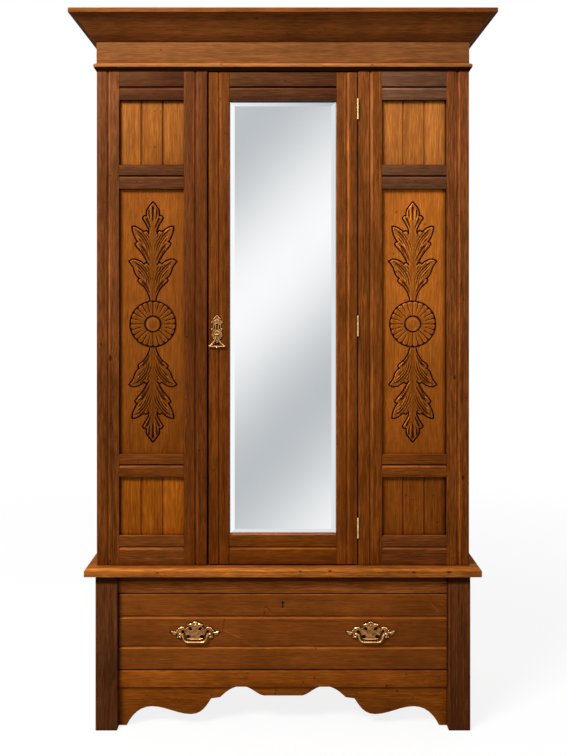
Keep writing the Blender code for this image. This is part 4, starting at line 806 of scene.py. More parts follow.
def bar(path, radius, sides=12):
    """A round bar along a path. The radius is a number, or a function of the share of the way along."""
    path = [Vector(point) for point in path]
    out = Vector((0, 1, 0))
    rings = []
    last = len(path) - 1
    for i, point in enumerate(path):
        ahead = (path[min(i + 1, last)] - path[max(i - 1, 0)]).normalized()
        across = ahead.cross(out).normalized()
        size = radius(i / last) if callable(radius) else radius
        turns = [2 * math.pi * k / sides for k in range(sides)]
        rings.append([point + size * (math.cos(a) * across + math.sin(a) * out) for a in turns])
    return rings_to_shape(rings)


def turned(centre, profile, sides=20, axis=1):
    """A turned form about a line through its centre. The profile gives radius and place along that line."""
    first, second = [i for i in range(3) if i != axis]
    rings = []
    for radius, along in profile:
        ring = []
        for k in range(sides):
            point = list(centre)
            point[first] += radius * math.cos(2 * math.pi * k / sides)
            point[second] += radius * math.sin(2 * math.pi * k / sides)
            point[axis] += along
            ring.append(point)
        rings.append(ring)
    return rings_to_shape(rings)


def ball(centre, radius, flat=1.0, axis=1, sides=16, levels=10, cap=0.35):
    """A ball, or a bun where it is flattened along its axis, with a small cap at each end."""
    angles = [math.pi * (i + cap) / (levels - 1 + 2 * cap) for i in range(levels)]
    profile = [(radius * math.sin(a), -radius * flat * math.cos(a)) for a in angles]
    return turned(centre, profile, sides, axis)


def inside(points, loop):
    """Which points lie inside a closed outline."""
    x, z = points.T
    within = np.zeros(len(points), bool)
    for (ax, az), (bx, bz) in zip(loop, np.roll(loop, -1, axis=0)):
        if az == bz:
            continue
        crosses = (az > z) != (bz > z)
        within ^= crosses & (x < (bx - ax) * (z - az) / (bz - az) + ax)
    return within


def distance(points, line):
    """How far each point lies from a line, and the share of the way along of its nearest place."""
    best = np.full(len(points), 1e9)
    share = np.zeros(len(points))
    runs = np.r_[0, np.cumsum(np.hypot(*np.diff(line, axis=0).T))]
    for i, (a, b) in enumerate(zip(line, line[1:])):
        run = b - a
        length = max(float(run @ run), 1e-9)
        t = unit((points - a) @ run / length)
        gap = np.hypot(*(points - a - t[:, None] * run).T)
        nearer = gap < best
        best[nearer] = gap[nearer]
        share[nearer] = (runs[i] + t[nearer] * math.sqrt(length)) / max(runs[-1], 1e-9)
    return best, share


def thinned(points, cell):
    """The points with no two in one small cell, the first kept."""
    seen = set()
    kept = []
    for point in points:
        key = (round(point[0] / cell), round(point[1] / cell))
        if key not in seen:
            seen.add(key)
            kept.append(point)
    return np.array(kept)


def slab(points, edges, keep, height, back):
    """A closed slab over the kept triangles: its front at each point's height, its back flat."""
    made = delaunay_2d_cdt([Vector(point) for point in points], edges, [], 0, 1e-6)
    flat = np.array([tuple(point) for point in made[0]])
    faces = np.array([list(face) for face in made[2]])
    faces = faces[keep(flat[faces].mean(axis=1))]
    used = np.unique(faces)
    number = np.full(len(flat), -1)
    number[used] = np.arange(len(used))
    flat, faces = flat[used], number[faces]
    count = len(flat)
    front = np.column_stack([flat[:, 0], height(flat), flat[:, 1]])
    rear = np.column_stack([flat[:, 0], np.full(count, back), flat[:, 1]])
    sides = np.concatenate([faces[:, [0, 1]], faces[:, [1, 2]], faces[:, [2, 0]]])
    _, where, times = np.unique(np.sort(sides, axis=1), axis=0, return_index=True, return_counts=True)
    rim = sides[where[times == 1]]
    walls = [[b, a, a + count, b + count] for a, b in rim.tolist()]
    behind = (faces[:, ::-1] + count).tolist()
    return flat, (np.concatenate([front, rear]), faces.tolist() + behind + walls)


def placed(name, data):
    """A new object in the scene."""
    item = bpy.data.objects.new(name, data)
    scene.collection.objects.link(item)
    return item


def loop_edges(count, start=0):
    """The edges round a closed loop of points."""
    return [(start + i, start + (i + 1) % count) for i in range(count)]


def flat_slab(outline, face, back):
    """A slab of one thickness over a closed outline."""
    def level(flat):
        return np.full(len(flat), face)

    return slab(outline, loop_edges(len(outline)), lambda spots: inside(spots, outline), level, back)[1]


def piece(name, shape, finishes, body, spot, replaced=()):
    """One object of a shape, at a spot of the frame, riding on a body."""
    mesh = bpy.data.meshes.new(name)
    x0, y0, z0 = spot
    points = [(x0 + x * MM, y0 - out * MM, z0 + z * MM) for x, out, z in shape.points]
    mesh.from_pydata(points, [], shape.faces)
    mesh.polygons.foreach_set("material_index", shape.finishes)
    work = bmesh.new()
    work.from_mesh(mesh)
    bmesh.ops.recalc_face_normals(work, faces=work.faces)
    work.to_mesh(mesh)
    work.free()
    for material in finishes:
        mesh.materials.append(material)
    mesh.shade_smooth()
    mesh.set_sharp_from_angle(angle=SMOOTH_ANGLE)
    item = placed(name, mesh)
    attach(item, body)
    if replaced:
        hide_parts(*replaced)
    return item


# Carved panels

def smooth_step(value):
    """A share that starts and ends gently."""
    value = unit(value)
    return value * value * (3 - 2 * value)


def gleam(value, strength, middle, half):
    """How strong a painted highlight, with wear, is along a line: strongest at a middle value, and gone a
    half width from it.
    """
    return strength * unit(1 - np.abs(value - middle) / half)


def spray_lines():
    """The half outline of a spray as one line, its grooves and its ridges."""
    grooves = [(half, even_line(line, LINE_STEP)) for half, line in SPRAY_GROOVES]
    ridges = [(half, even_line(line, LINE_STEP)) for half, line in SPRAY_RIDGES]
    grooves += [(FLUTE_HALF, offset_line(grooves[i][1], gap)[FLUTE_START:]) for i, gap in FLUTES]
    return chain(SPRAY_STROKES, LINE_STEP), grooves, ridges


def offset_line(line, gap):
    """A line moved sideways."""
    run = np.gradient(line, axis=0)
    run /= np.maximum(np.hypot(*run.T), 1e-9)[:, None]
    return line + gap * np.column_stack([-run[:, 1], run[:, 0]])


def stroke_of(points, half, line):
    """How far points lie across a cut, in its half widths, and how full it is, fading towards the stem."""
    gap, share = distance(points, line)
    full = np.clip(share * STROKE_START, STROKE_LEAST, 1) * unit((1 - share) * STROKE_END)
    return gap / (STROKE_WIDTH * half * (1 - STROKE_TAPER * share)), full * (1 - STROKE_FADE * share)


def closed_half(outline):
    """A half outline, closed along the stem."""
    return np.concatenate([outline, [[0, outline[-1, 1]]]])


def stem_height(points):
    """A round stem that narrows upwards and ends below the last leaf."""
    low, high = STEM_HALF
    half = low + (high - low) * unit(points[:, 1] / SPRAY_TIP)
    stem = STEM_RISE * np.sqrt(unit(1 - (points[:, 0] / half) ** 2)) - STEM_SINK
    return np.where(points[:, 1] < SPRAY_TIP * STEM_END, stem, -CUT_DEPTH)


def spray_relief(points, outline, grooves, ridges):
    """Height, painted shade and dirt of the cuts, and painted highlight and wear of the ridges, of a spray,
    in its folded half.
    """
    edge, _ = distance(points, outline)
    leaf = inside(points, closed_half(outline))
    height = -CUT_DEPTH + (CUT_DEPTH + LEAF_RISE) * smooth_step(edge / LEAF_ROUND)
    fall = -CUT_DEPTH * unit((CUT_WIDTH - edge) / (CUT_WIDTH - CUT_CORE / 2))
    cut = unit((CUT_WIDTH - edge) / (CUT_WIDTH - CUT_CORE))
    wear_and_highlight = gleam(edge, *LEAF_GLEAM)
    for half, line in ridges:
        across, full = stroke_of(points, half, line)
        height = height + RIDGE_RISE * full * unit(1 - across**2)
        wear_and_highlight = np.maximum(wear_and_highlight, full * unit(RIDGE_SPREAD - across))
    for half, line in grooves:
        across, full = stroke_of(points, half, line)
        height = height - GROOVE_DEPTH * full * unit(1 - across**2)
        cut = np.where(leaf, np.maximum(cut, full * unit(GROOVE_SPREAD - across)), cut)
        wear_and_highlight = np.maximum(wear_and_highlight, full * gleam(across, *LIP_GLEAM))
    height = np.maximum(np.maximum(height, -CUT_DEPTH), stem_height(points))
    height = np.where(leaf, height, fall)
    cut = np.where(leaf, np.maximum(cut, LEAF_DIRT), cut)
    return height, unit(cut), np.where(leaf, unit(wear_and_highlight), 0)


def petal_places(points):
    """Each point's radius, its share of the way to a petal's middle, and where the nearest cut starts."""
    radius = np.hypot(*points.T)
    turn = np.mod(np.arctan2(points[:, 0], points[:, 1]) / (2 * math.pi) * PETALS, PETALS)
    cut = np.floor(turn + 0.5) % len(LINE_STARTS)
    turn = turn - np.floor(turn)
    return radius, 1 - 2 * np.abs(turn - 0.5), np.array(LINE_STARTS)[cut.astype(int)]


def rosette_height(radius, rim, valley, groove, ring):
    """A boss in a cut ring, dished petals with cuts between them, and the cut round them all."""
    share = unit((radius - BOSS_RING) / (ROSETTE_RIM - BOSS_RING))
    petal = PETAL_RISE - PETAL_DISH * np.sin(math.pi * share) - LINE_DEPTH * groove
    petal -= PETAL_VALLEY * valley * unit(radius / ROSETTE_RIM) ** 2
    petal = -CUT_DEPTH + (petal + CUT_DEPTH) * np.sqrt(unit((rim - radius) / PETAL_EDGE))
    petal = np.where(radius < BOSS_RING, -CUT_DEPTH * unit(BOSS_RING_FLOOR - ring), petal)
    boss = BOSS_RISE * np.sqrt(unit(1 - (radius / BOSS_RADIUS) ** 2 * BOSS_ROUND)) - BOSS_SINK
    outer = -CUT_DEPTH * unit((ROSETTE_OUTER + OUTER_EDGE - radius) / OUTER_SLOPE)
    return np.where(radius > rim, outer, np.where(radius < BOSS_RADIUS, boss, petal))


def rosette_relief(points):
    """Height, painted shade and dirt, painted highlight and wear of the rosette, and the points that it
    covers.
    """
    radius, middle, start = petal_places(points)
    off_line = middle * math.pi * radius / PETALS
    valley = (1 - middle) ** 2
    rim = ROSETTE_RIM - PETAL_SCALLOP * valley
    run = smooth_step((radius - start) / LINE_RUN_IN)
    groove = run * unit(1 - off_line / LINE_HALF)
    ring = np.abs(2 * radius - BOSS_RADIUS - BOSS_RING) / (BOSS_RING - BOSS_RADIUS)
    edge = unit(ROSETTE_OUTER + OUTER_EDGE - radius)
    outside = edge * unit((radius - rim + RIM_DARK) / OUTER_SLOPE)
    lines = unit(LINE_DARK * groove)
    cut = np.max([lines, unit(BOSS_RING_DARK - ring), outside, PETAL_DIRT * (radius < rim)], axis=0)
    across, up, reach = BOSS_GLEAM
    strength, spread = BOSS_GLEAM_SPREAD
    dome = strength * unit(spread - np.hypot(points[:, 0] - across, points[:, 1] - up) / reach)
    sides = gleam(off_line, *PETAL_GLEAM) * run * (radius < rim - PETAL_GLEAM_END)
    tips = gleam(rim - radius, *TIP_GLEAM) * middle
    wear_and_highlight = np.max([tips, sides, gleam(BOSS_RADIUS - radius, *DOME_GLEAM), dome], axis=0)
    return rosette_height(radius, rim, valley, groove, ring), cut, wear_and_highlight, radius < ROSETTE_OUTER + OUTER_EDGE


def spray_points(outline, strokes):
    """Points along every line of a spray and between them, in its right half above the rosette."""
    lines = [outline] + [line for _, line in strokes]
    shares = [side * share * STROKE_WIDTH for share in STROKE_SHARES for side in (-1, 1)]
    lines += [offset_line(line, share * half) for half, line in strokes for share in shares]
    lines += [offset_line(outline, side * gap) for gap in (CUT_CORE, CUT_WIDTH, LEAF_RIM) for side in (-1, 1)]
    across = np.arange(0, SPRAY_REACH, FILL_STEP)
    grid = np.array([(x, z) for z in np.arange(ROSETTE_OUTER, SPRAY_TIP, FILL_STEP) for x in across])
    half = np.concatenate([*lines, grid[inside(grid, closed_half(outline))]])
    return half[(half[:, 0] >= -0.01) & (np.hypot(*half.T) > ROSETTE_OUTER + ROSETTE_CLEAR)]


def carving_points(outline, strokes, sides, foot, top):
    """Points of the rosette and of both sprays, and a wide grid over the field around them."""
    half = spray_points(outline, strokes)
    sprays = [half * (side, turn) for turn in (1, -LOWER_SPRAY) for side in (1, -1)]
    turns = np.arange(PETALS * TURNS_PER_PETAL) * 2 * math.pi / (PETALS * TURNS_PER_PETAL)
    disc = np.array([(r * math.sin(a), r * math.cos(a)) for r in ROSETTE_RINGS for a in turns])
    field_x = np.linspace(*sides, round((sides[1] - sides[0]) / FIELD_STEP) + 1)
    field_z = np.linspace(foot, top, round((top - foot) / FIELD_STEP) + 1)
    field = np.array([(x, z) for z in field_z for x in field_x])
    rim = np.isin(field[:, 0], sides) | np.isin(field[:, 1], (foot, top))
    return np.concatenate([field[rim], thinned(np.concatenate([disc, *sprays, field[~rim]]), POINT_GAP)])


def carved_panel(node, tone, seed, painted_light_gains, grade_power, rim):
    """A panel with a rosette between two leaf sprays, cut into its face."""
    low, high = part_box(node)
    middle = (low + high) / 2
    inward = -math.copysign(CARVING_INWARD, middle.x)
    centre = Vector((middle.x + inward * MM, low.y, middle.z - ROSETTE_BELOW_CENTRE * MM))
    outline, grooves, ridges = spray_lines()
    sides = [(x - centre.x) / MM for x in (low.x, high.x)]
    foot, top = (low.z - centre.z) / MM, (high.z - centre.z) / MM
    points = carving_points(outline, grooves + ridges, sides, foot, top)

    def relief(flat):
        x, z = flat.T
        folded = np.column_stack([np.abs(x), np.where(z < 0, -z / LOWER_SPRAY, z)])
        *disc, covered = rosette_relief(flat)
        spray = spray_relief(folded, outline, grooves, ridges)
        return [np.where(covered, *both) for both in zip(disc, spray)]

    depth = (high.y - low.y) / MM
    flat, solid = slab(points, [], lambda spots: np.ones(len(spots), bool), lambda f: relief(f)[0], -depth)
    looks = {"carved": True, "painted_light_gains": painted_light_gains, "rim": rim, "grade_power": grade_power}
    material = wood(node + "_wood", tone, UP, seed, CARVED_CONTRAST, **looks)
    item = piece(node + "_carved", Shape().add(*solid), [material], "cabinet", centre, [node])
    # The painted shade and dirt of the cuts, and the painted highlight and wear of the ridges, kept on the
    # points.
    for name, values in zip(("cut", "wear_and_highlight"), relief(flat)[1:]):
        mark = item.data.attributes.new(name, "FLOAT", "POINT")
        mark.data.foreach_set("value", np.concatenate([values, np.zeros(len(values))]).astype(np.float32))


# Studio

def studio_world():
    """White to the camera, a slanting sheen to mirrors and gloss, and an even fill to everything else."""
    world = bpy.data.worlds.new("studio")
    scene.world = world
    world.use_nodes = True
    look = Wiring(world.node_tree)
    way = look.node("SeparateXYZ", {0: look.node("TexCoord").outputs["Generated"]}).outputs
    slant = look.math("SUBTRACT", way["Z"], look.times(way["X"], SHEEN_TILT))
    turn = look.times(look.math("SUBTRACT", slant, SHEEN_START), 2 * math.pi / SHEEN_PERIOD)
    wave = look.spread(look.math("COSINE", turn), -1, 1)
    sheen = look.mix(wave, linear(SHEEN_DARK), linear(SHEEN_LIGHT))
    cards = (
        ("X", LEFT_CARD, linear(SHEEN_LIGHT)), ("X", RIGHT_CARD, linear(SHEEN_SIDE)),
        ("X", FAR_SIDE, linear(SHEEN_DARK)),
        ("Z", LOW_CARD, linear(SHEEN_SIDE)), ("Z", DARK_FLOOR, linear(FLOOR_BROWN)),
        ("Z", HIGH_CARD, grey(HIGH_CARD_LIGHT)),
    )
    for axis, card, colour in cards:
        sheen = look.mix(look.spread(way[axis], *card), sheen, colour)
    sheen = look.mix(look.spread(way["Y"], *ROOM_TURN), linear(ROOM_GREY), sheen)
    path = look.node("LightPath").outputs
    fill = look.mix(look.spread(way["Y"], *FILL_TURN), grey(FILL_LIGHT), grey(FILL_BEHIND))
    seen = look.mix(path["Is Glossy Ray"], fill, sheen)
    direct = look.math("MAXIMUM", path["Is Camera Ray"], path["Is Transmission Ray"])
    look.feed(look.tree.nodes["Background"].inputs["Color"], look.mix(direct, seen, grey(1.0)))


def studio_floor():
    """A pale floor, white to the camera but for the shade that the object casts on it."""
    mesh = bpy.data.meshes.new("floor")
    half = FLOOR_SIZE / 2
    corners = [(-half, -half, 0), (half, -half, 0), (half, half, 0), (-half, half, 0)]
    mesh.from_pydata(corners, [], [[0, 1, 2, 3]])
    floor = placed("floor", mesh)
    look = Finish("floor")
    tree = look.tree
    tree.nodes.remove(look.shader)
    matt = look.node("BsdfDiffuse", {"Color": grey(FLOOR_COLOUR)})
    white = look.node("Emission", {"Color": grey(1.0), "Strength": 1.0})
    glow = look.node("Emission", {"Color": grey(1.0), "Strength": FLOOR_GLOW})
    shade = look.node("BsdfDiffuse", {"Color": grey(FLOOR_SHADE)})
    near = look.node("AddShader", {0: glow.outputs[0], 1: shade.outputs[0]})
    away = look.vector("LENGTH", look.node("TexCoord").outputs["Object"])
    lit = look.node("MixShader", {0: look.spread(away, *FLOOR_FADE), 1: near.outputs[0], 2: white.outputs[0]})
    camera = look.node("LightPath").outputs["Is Camera Ray"]
    both = look.node("MixShader", {0: camera, 1: matt.outputs[0], 2: lit.outputs[0]})
    look.feed(tree.nodes["Material Output"].inputs["Surface"], both.outputs[0])
    mesh.materials.append(look.material)
    floor.visible_glossy = False


def studio_light():
    """The main light, from high on the left."""
    lamp = bpy.data.lights.new("key", "AREA")
    lamp.shape = "RECTANGLE"
    lamp.size, lamp.size_y = KEY_SIZE
    lamp.energy = KEY_POWER
    item = placed("key", lamp)
    item.location = KEY_PLACE
    item.rotation_euler = (Vector(KEY_AIM) - Vector(KEY_PLACE)).to_track_quat("-Z", "Y").to_euler()


def camera(front):
    """A level camera, square on to the front."""
    lens = bpy.data.cameras.new("camera")
    lens.sensor_width = SENSOR
    lens.lens = SENSOR * CAMERA_DISTANCE / (IMAGE_HEIGHT * PIXEL_SIZE)
    lens.shift_x = (IMAGE_WIDTH / 2 - EYE_PIXEL[0]) / IMAGE_HEIGHT
    lens.shift_y = (EYE_PIXEL[1] - IMAGE_HEIGHT / 2) / IMAGE_HEIGHT
    item = placed("camera", lens)
    item.location = (0, front - CAMERA_DISTANCE, EYE_HEIGHT)
    item.rotation_euler = (math.pi / 2, 0, 0)
    scene.camera = item


# Tones of the sides, of the back and of the drawer's inside, and the first seed of each kind of piece
SIDE_TONE, BACK_TONE, DRAWER_TONE = (118, 62, 24), (150, 104, 60), (186, 138, 84)
WOOD_SEEDS, BOARDED_SEEDS, CARVED_SEEDS, MOULDING_SEEDS = 1, 51, 61, 71
# Wood pieces: the node, its tone, the way of its grain and how strongly the grain shows
WOODS = (
    ("left_outer_stile", (109, 58, 24), UP, 0.85), ("right_outer_stile", (123, 65, 26), UP, 0.9),
    ("left_inner_stile", (101, 51, 19), UP, 0.8), ("right_inner_stile", (120, 63, 21), UP, 0.85),
    ("left_top_rail", (82, 43, 20), ACROSS, 0.56), ("right_top_rail", (109, 70, 42), ACROSS, 0.56),
    ("left_upper_rail", (91, 51, 25), ACROSS, 0.62), ("right_upper_rail", (98, 59, 34), ACROSS, 0.62),
    ("left_lower_rail", (108, 57, 23), ACROSS, 0.74), ("right_lower_rail", (121, 64, 25), ACROSS, 0.74),
    ("left_bottom_rail", (113, 62, 30), ACROSS, 0.74), ("right_bottom_rail", (109, 59, 30), ACROSS, 0.74),
    ("left_front_leg", (85, 48, 31), UP, 0.68), ("right_front_leg", (94, 51, 30), UP, 0.75),
    ("left_base_side", SIDE_TONE, DEEP, 0.62), ("right_base_side", SIDE_TONE, DEEP, 0.62),
    ("door_left_stile", (111, 56, 17), UP, 0.74), ("door_right_stile", (114, 59, 19), UP, 0.81),
    ("door_top_rail", (83, 45, 21), ACROSS, 0.68), ("door_bottom_rail", (108, 56, 19), ACROSS, 0.62),
    ("cornice", (137, 73, 25), ACROSS, 0.5), ("base_top", (164, 96, 46), ACROSS, 0.75),
    ("drawer_top_rail", (151, 85, 44), ACROSS, 0.68), ("drawer_front", (130, 71, 31), ACROSS, 0.42),
    ("drawer_bottom_rail", (150, 82, 29), ACROSS, 0.56), ("apron", (138, 74, 24), ACROSS, 0.56),
    ("top_board", BACK_TONE, ACROSS, 0.62), ("base_back", BACK_TONE, ACROSS, 0.62),
    ("drawer_left_side", DRAWER_TONE, DEEP, 0.50), ("drawer_right_side", DRAWER_TONE, DEEP, 0.50),
    ("drawer_back", DRAWER_TONE, ACROSS, 0.50), ("drawer_bottom", DRAWER_TONE, ACROSS, 0.50),
    ("mirror_backboard", BACK_TONE, UP, 0.62), ("hanging_rail", DRAWER_TONE, ACROSS, 0.50),
)
# Boarded pieces: the node, its tone, the axis its boards lie side by side on, their number, its tongue
# and how dark the seams are
PANEL_TONGUE, BOARD_CONTRAST = 9.2, 0.55
BOARDED = (
    ("left_upper_panel", (165, 93, 32), ACROSS, 3, PANEL_TONGUE, 0.6),
    ("right_upper_panel", (191, 110, 42), ACROSS, 3, PANEL_TONGUE, 0.35),
    ("left_lower_panel", (150, 81, 20), ACROSS, 3, PANEL_TONGUE, 0.4),
    ("right_lower_panel", (125, 66, 21), ACROSS, 3, PANEL_TONGUE, 0.4),
    ("left_side_panel", SIDE_TONE, DEEP, 4, 0, 0.6), ("right_side_panel", SIDE_TONE, DEEP, 4, 0, 0.6),
    ("back_panel", BACK_TONE, ACROSS, BACK_BOARDS, 0, 0.6),
)
# Carved pieces: the node, its tone, its gains at foot and top, which paint light paler towards the top, and
# how strongly its colour changes
CARVED = (
    ("left_carved_panel", (133, 70, 17), (0.69, 1.62), 1.28),
    ("right_carved_panel", (152, 80, 17), (0.56, 2.08), 2.0),
)
MOULDINGS = (("frieze_board", (142, 83, 36)), ("neck_moulding", (172, 102, 44)))
# How strongly the mouldings' grain shows, and their painted shade and dirt on what faces down
MOULDING_CONTRAST, MOULDING_UNDER_SHADE_AND_DIRT = 0.48, 0.97


def knots_on(face, *knots):
    """Knots on an upright face, in millimetres: across, up and the radius."""
    return [((x * MM, face * MM, z * MM), radius * MM) for x, z, radius in knots]


def scratches_on(face, *scratches):
    """Scratches on an upright face, in millimetres: both ends and the half width, then how pale each is."""
    return [
        ((x0 * MM, face * MM, z0 * MM), (x1 * MM, face * MM, z1 * MM), half * MM, gain)
        for x0, z0, x1, z1, half, gain in scratches
    ]


# Details of single pieces: painted shade and dirt below, painted shade on walls that face left and right,
# painted light on slopes and flats, knots and scratches. Eaves name the piece that overhangs and the reach of
# its painted shade.
UNDER_LEDGE = ("base_top", 27.0)
HANDS = ("left", "right")
STILE_FACE, DRAWER_FACE = -191, -183
DETAILS = {
    "cornice": {"under_shade_and_dirt": 0.3},
    "base_top": {
        "under_shade_and_dirt": 0.0, "lit": (0.6, 0.0),
        "knots": knots_on(
            -221, (376, 464, 4.0), (476, 464, 4.5), (-360, 462, 3.0), (50, 466, 3.0), (135, 467, 3.5)
        ),
    },
    "left_outer_stile": {
        "walls": (0.0, 0.85), "knots": knots_on(STILE_FACE, (-501, 1076, 6.0), (-527, 1116, 3.0)),
    },
    "right_outer_stile": {
        "walls": (0.85, 0.0), "knots": knots_on(STILE_FACE, (522, 728, 5.0), (498, 1020, 4.0)),
    },
    "left_inner_stile": {
        # The dark scratch along this stile's edge by the door is painted shade of the door's gap
        "walls": (0.8, 1.0), "scratches": scratches_on(STILE_FACE, (-219, 1900, -219, 480, 4.0, 0.1)),
    },
    "right_inner_stile": {"walls": (0.8, 0.8)},
    **{f"{hand}_{rail}_rail": {"under_shade_and_dirt": 0.85} for hand in HANDS for rail in ("top", "upper", "lower")},
    "door_left_stile": {"walls": (1.0, 0.6)},
    "door_right_stile": {"walls": (0.6, 0.6)},
    "door_top_rail": {"under_shade_and_dirt": 0.97},
    **{node: {"eaves": UNDER_LEDGE} for node in ("drawer_top_rail", "left_front_leg", "right_front_leg")},
    "drawer_bottom_rail": {"knots": knots_on(-190, (421, 135, 4.0))},
    "apron": {"knots": knots_on(-180, (-313, 84, 5.0))},
    "drawer_front": {
        "knots": knots_on(DRAWER_FACE, (-60, 321, 2.5), (-31, 321, 2.5)),
        "scratches": scratches_on(
            DRAWER_FACE,
            (-168, 281, -126, 262, 2.2, 1.7), (-112, 247, -30, 226, 2.0, 1.6),
            (-170, 318, -176, 276, 1.8, 0.5), (-56.5, 324, -52.5, 338, 1.8, 0.3),
            (-55.7, 347, -49.4, 352.6, 1.5, 0.4), (-49.4, 352.6, -41.7, 347, 1.5, 0.4),
            (-41.7, 347, -37, 338, 1.8, 0.35), (430, 362, 452, 338, 1.8, 1.7),
            (460, 360, 476, 345, 1.5, 1.6), (120, 226, 230, 212, 2.0, 1.4),
        ),
    },
}


def boards_of(node, axis, count, tongue):
    """The axis, start and width of a panel's boards."""
    low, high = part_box(node)
    start = low[axis] + tongue * MM
    return axis, start, (high[axis] - tongue * MM - start) / count


def dress_wood(group):
    """Stains every wooden piece, and carves the two tall panels."""
    for seed, (node, tone, grain, contrast) in enumerate(WOODS, WOOD_SEEDS):
        low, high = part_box(node)
        line = (low.x + high.x) / 2 if node.endswith("stile") else None
        material = wood(node + "_wood", tone, grain, seed, contrast, line=line, **DETAILS.get(node, {}))
        dress(nodes[node], material)
        soften(nodes[node], group, EDGE_ROUND)
    right_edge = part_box("right_outer_stile")[0].x
    for seed, (node, tone, axis, count, tongue, seam) in enumerate(BOARDED, BOARDED_SEEDS):
        boards = boards_of(node, axis, count, tongue)
        # Painted shade beside the right outer stile, on the panels at the right
        rim = right_edge if node.startswith("right") and axis == ACROSS else None
        dress(nodes[node], wood(node + "_wood", tone, UP, seed, BOARD_CONTRAST, boards, seam, rim=rim))
        soften(nodes[node], group, EDGE_ROUND / 2)
    for seed, (node, tone, painted_light_gains, grade_power) in enumerate(CARVED, CARVED_SEEDS):
        carved_panel(node, tone, seed, painted_light_gains, grade_power, right_edge if node.startswith("right") else None)


# Frieze and neck moulding

def wrapped(profile, half, depth):
    """A moulding round the front and both sides, mitred at its corners. Its profile runs out and up."""
    rings = []
    for side, front in ((-1, False), (-1, True), (1, True), (1, False)):
        rings.append([(side * (half + out), out if front else -depth, up) for out, up in profile])
    return rings_to_shape(rings)


def neck_profile(height):
    """A tall nose with rounded edges, between a slope up to the frieze and one back to the carcass."""
    inner = FRIEZE_OUT + FIT
    crown = height - NECK_SLOPE
    foot = crown - NECK_NOSE
    return [
        (inner, 0), (inner, height), (inner + FIT, height), (NECK_OUT - NECK_ROUND, crown + NECK_ROUND / 2),
        (NECK_OUT, crown - NECK_ROUND / 2), (NECK_OUT, foot + NECK_ROUND / 2),
        (NECK_OUT - NECK_ROUND, foot - NECK_ROUND), (inner + FIT, 0),
    ]


def frieze_and_neck(group):
    """The frieze almost flush with the carcass, and the moulding over its foot."""
    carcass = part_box("left_outer_stile")[0]
    half = -carcass.x / MM
    for seed, (node, tone) in enumerate(MOULDINGS, MOULDING_SEEDS):
        low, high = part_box(node)
        height = (high.z - low.z) / MM
        board = [(-FRIEZE_BACK, 0), (-FRIEZE_BACK, height), (FRIEZE_OUT, height), (FRIEZE_OUT, 0)]
        profile = board if node == "frieze_board" else neck_profile(height)
        shape = Shape().add(*wrapped(profile, half, (high.y - carcass.y) / MM))
        material = wood(node + "_wood", tone, ACROSS, seed, MOULDING_CONTRAST, under_shade_and_dirt=MOULDING_UNDER_SHADE_AND_DIRT)
        spot = (0, carcass.y, low.z)
        item = piece(node + "_shaped", shape, [material], "cabinet", spot, [node])
        dress(item, material)
        soften(item, group, EDGE_ROUND)


# Mirror

def frame_ring(low, high, inset, out):
    """The corners of an upright rectangle, drawn in from its edge."""
    (x0, z0), (x1, z1) = low, high
    x0, z0, x1, z1 = x0 + inset, z0 + inset, x1 - inset, z1 - inset
    return [(x0, out, z0), (x1, out, z0), (x1, out, z1), (x0, out, z1)]


def mirror_plate(material):
    """A plate whose broad, shallow bevel starts at the edge of the opening."""
    low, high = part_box("mirror_plate")
    left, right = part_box("door_left_stile")[1].x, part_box("door_right_stile")[0].x
    sill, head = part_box("door_bottom_rail")[1].z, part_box("door_top_rail")[0].z
    outer = [(corner.x / MM, corner.z / MM) for corner in (low, high)]
    sight = [(left / MM, sill / MM), (right / MM, head / MM)]
    thickness = (high.y - low.y) / MM
    rings = [frame_ring(*outer, 0, -thickness), frame_ring(*outer, 0, -BEVEL_DEPTH)]
    rings += [frame_ring(*sight, 0, -BEVEL_DEPTH), frame_ring(*sight, BEVEL_WIDTH, 0)]
    shape = Shape().add(*rings_to_shape(rings))
    plate = piece("mirror_glass", shape, [material], "door", (0, low.y, 0), ["mirror_plate"])
    plate.data.shade_flat()


# Brass

def whole_lines(line):
    """A line that starts in the middle runs on to the other side, and any other has a twin there."""
    twin = [(-x, z) for x, z in line]
    return [twin[:0:-1] + list(line)] if line[0][0] == 0 else [list(line), twin]


def add_beads(shape, beads, out, flat=1.0):
    """Beads on both sides of the middle, or one on it."""
    for radius, (x, z) in beads:
        for side in (-1, 1) if x else (1,):
            shape.add(*ball((side * x, out, z), radius, flat), POLISHED)


def swelling(radius):
    """A bar's radius along its length, fullest in the middle."""
    return lambda t: radius * (BAR_ENDS + (1 - BAR_ENDS) * math.sin(math.pi * t))


def add_relief(shape, bars, beads, face):
    """Raised bars and beads on the face of a casting, on both sides of its middle."""
    for radius, line in bars:
        for path in whole_lines(line):
            path = [(x, face + RELIEF, z) for x, z in curve_through(path, RELIEF_STEPS)]
            shape.add(*bar(path, swelling(radius), RELIEF_SIDES), POLISHED)
    add_beads(shape, beads, face + RELIEF, BEAD_FLAT)


def oval(centre, halves, slant):
    """A closed line round an oval, turned by an angle."""
    turns = np.arange(HOLE_POINTS) * 2 * math.pi / HOLE_POINTS
    along, across = halves[0] * np.cos(turns), halves[1] * np.sin(turns)
    cos, sin = math.cos(math.radians(slant)), math.sin(math.radians(slant))
    return np.column_stack([centre[0] + along * cos - across * sin, centre[1] + along * sin + across * cos])


def keyhole(radius, slot, foot):
    """The outline of a round hole with a slot below it."""
    meet = math.asin(slot / radius)
    turns = np.linspace(meet, 2 * math.pi - meet, KEYHOLE_POINTS)
    arc = np.column_stack([-radius * np.sin(turns), -radius * np.cos(turns)])
    return np.concatenate([arc, [(slot, foot), (-slot, foot)]])


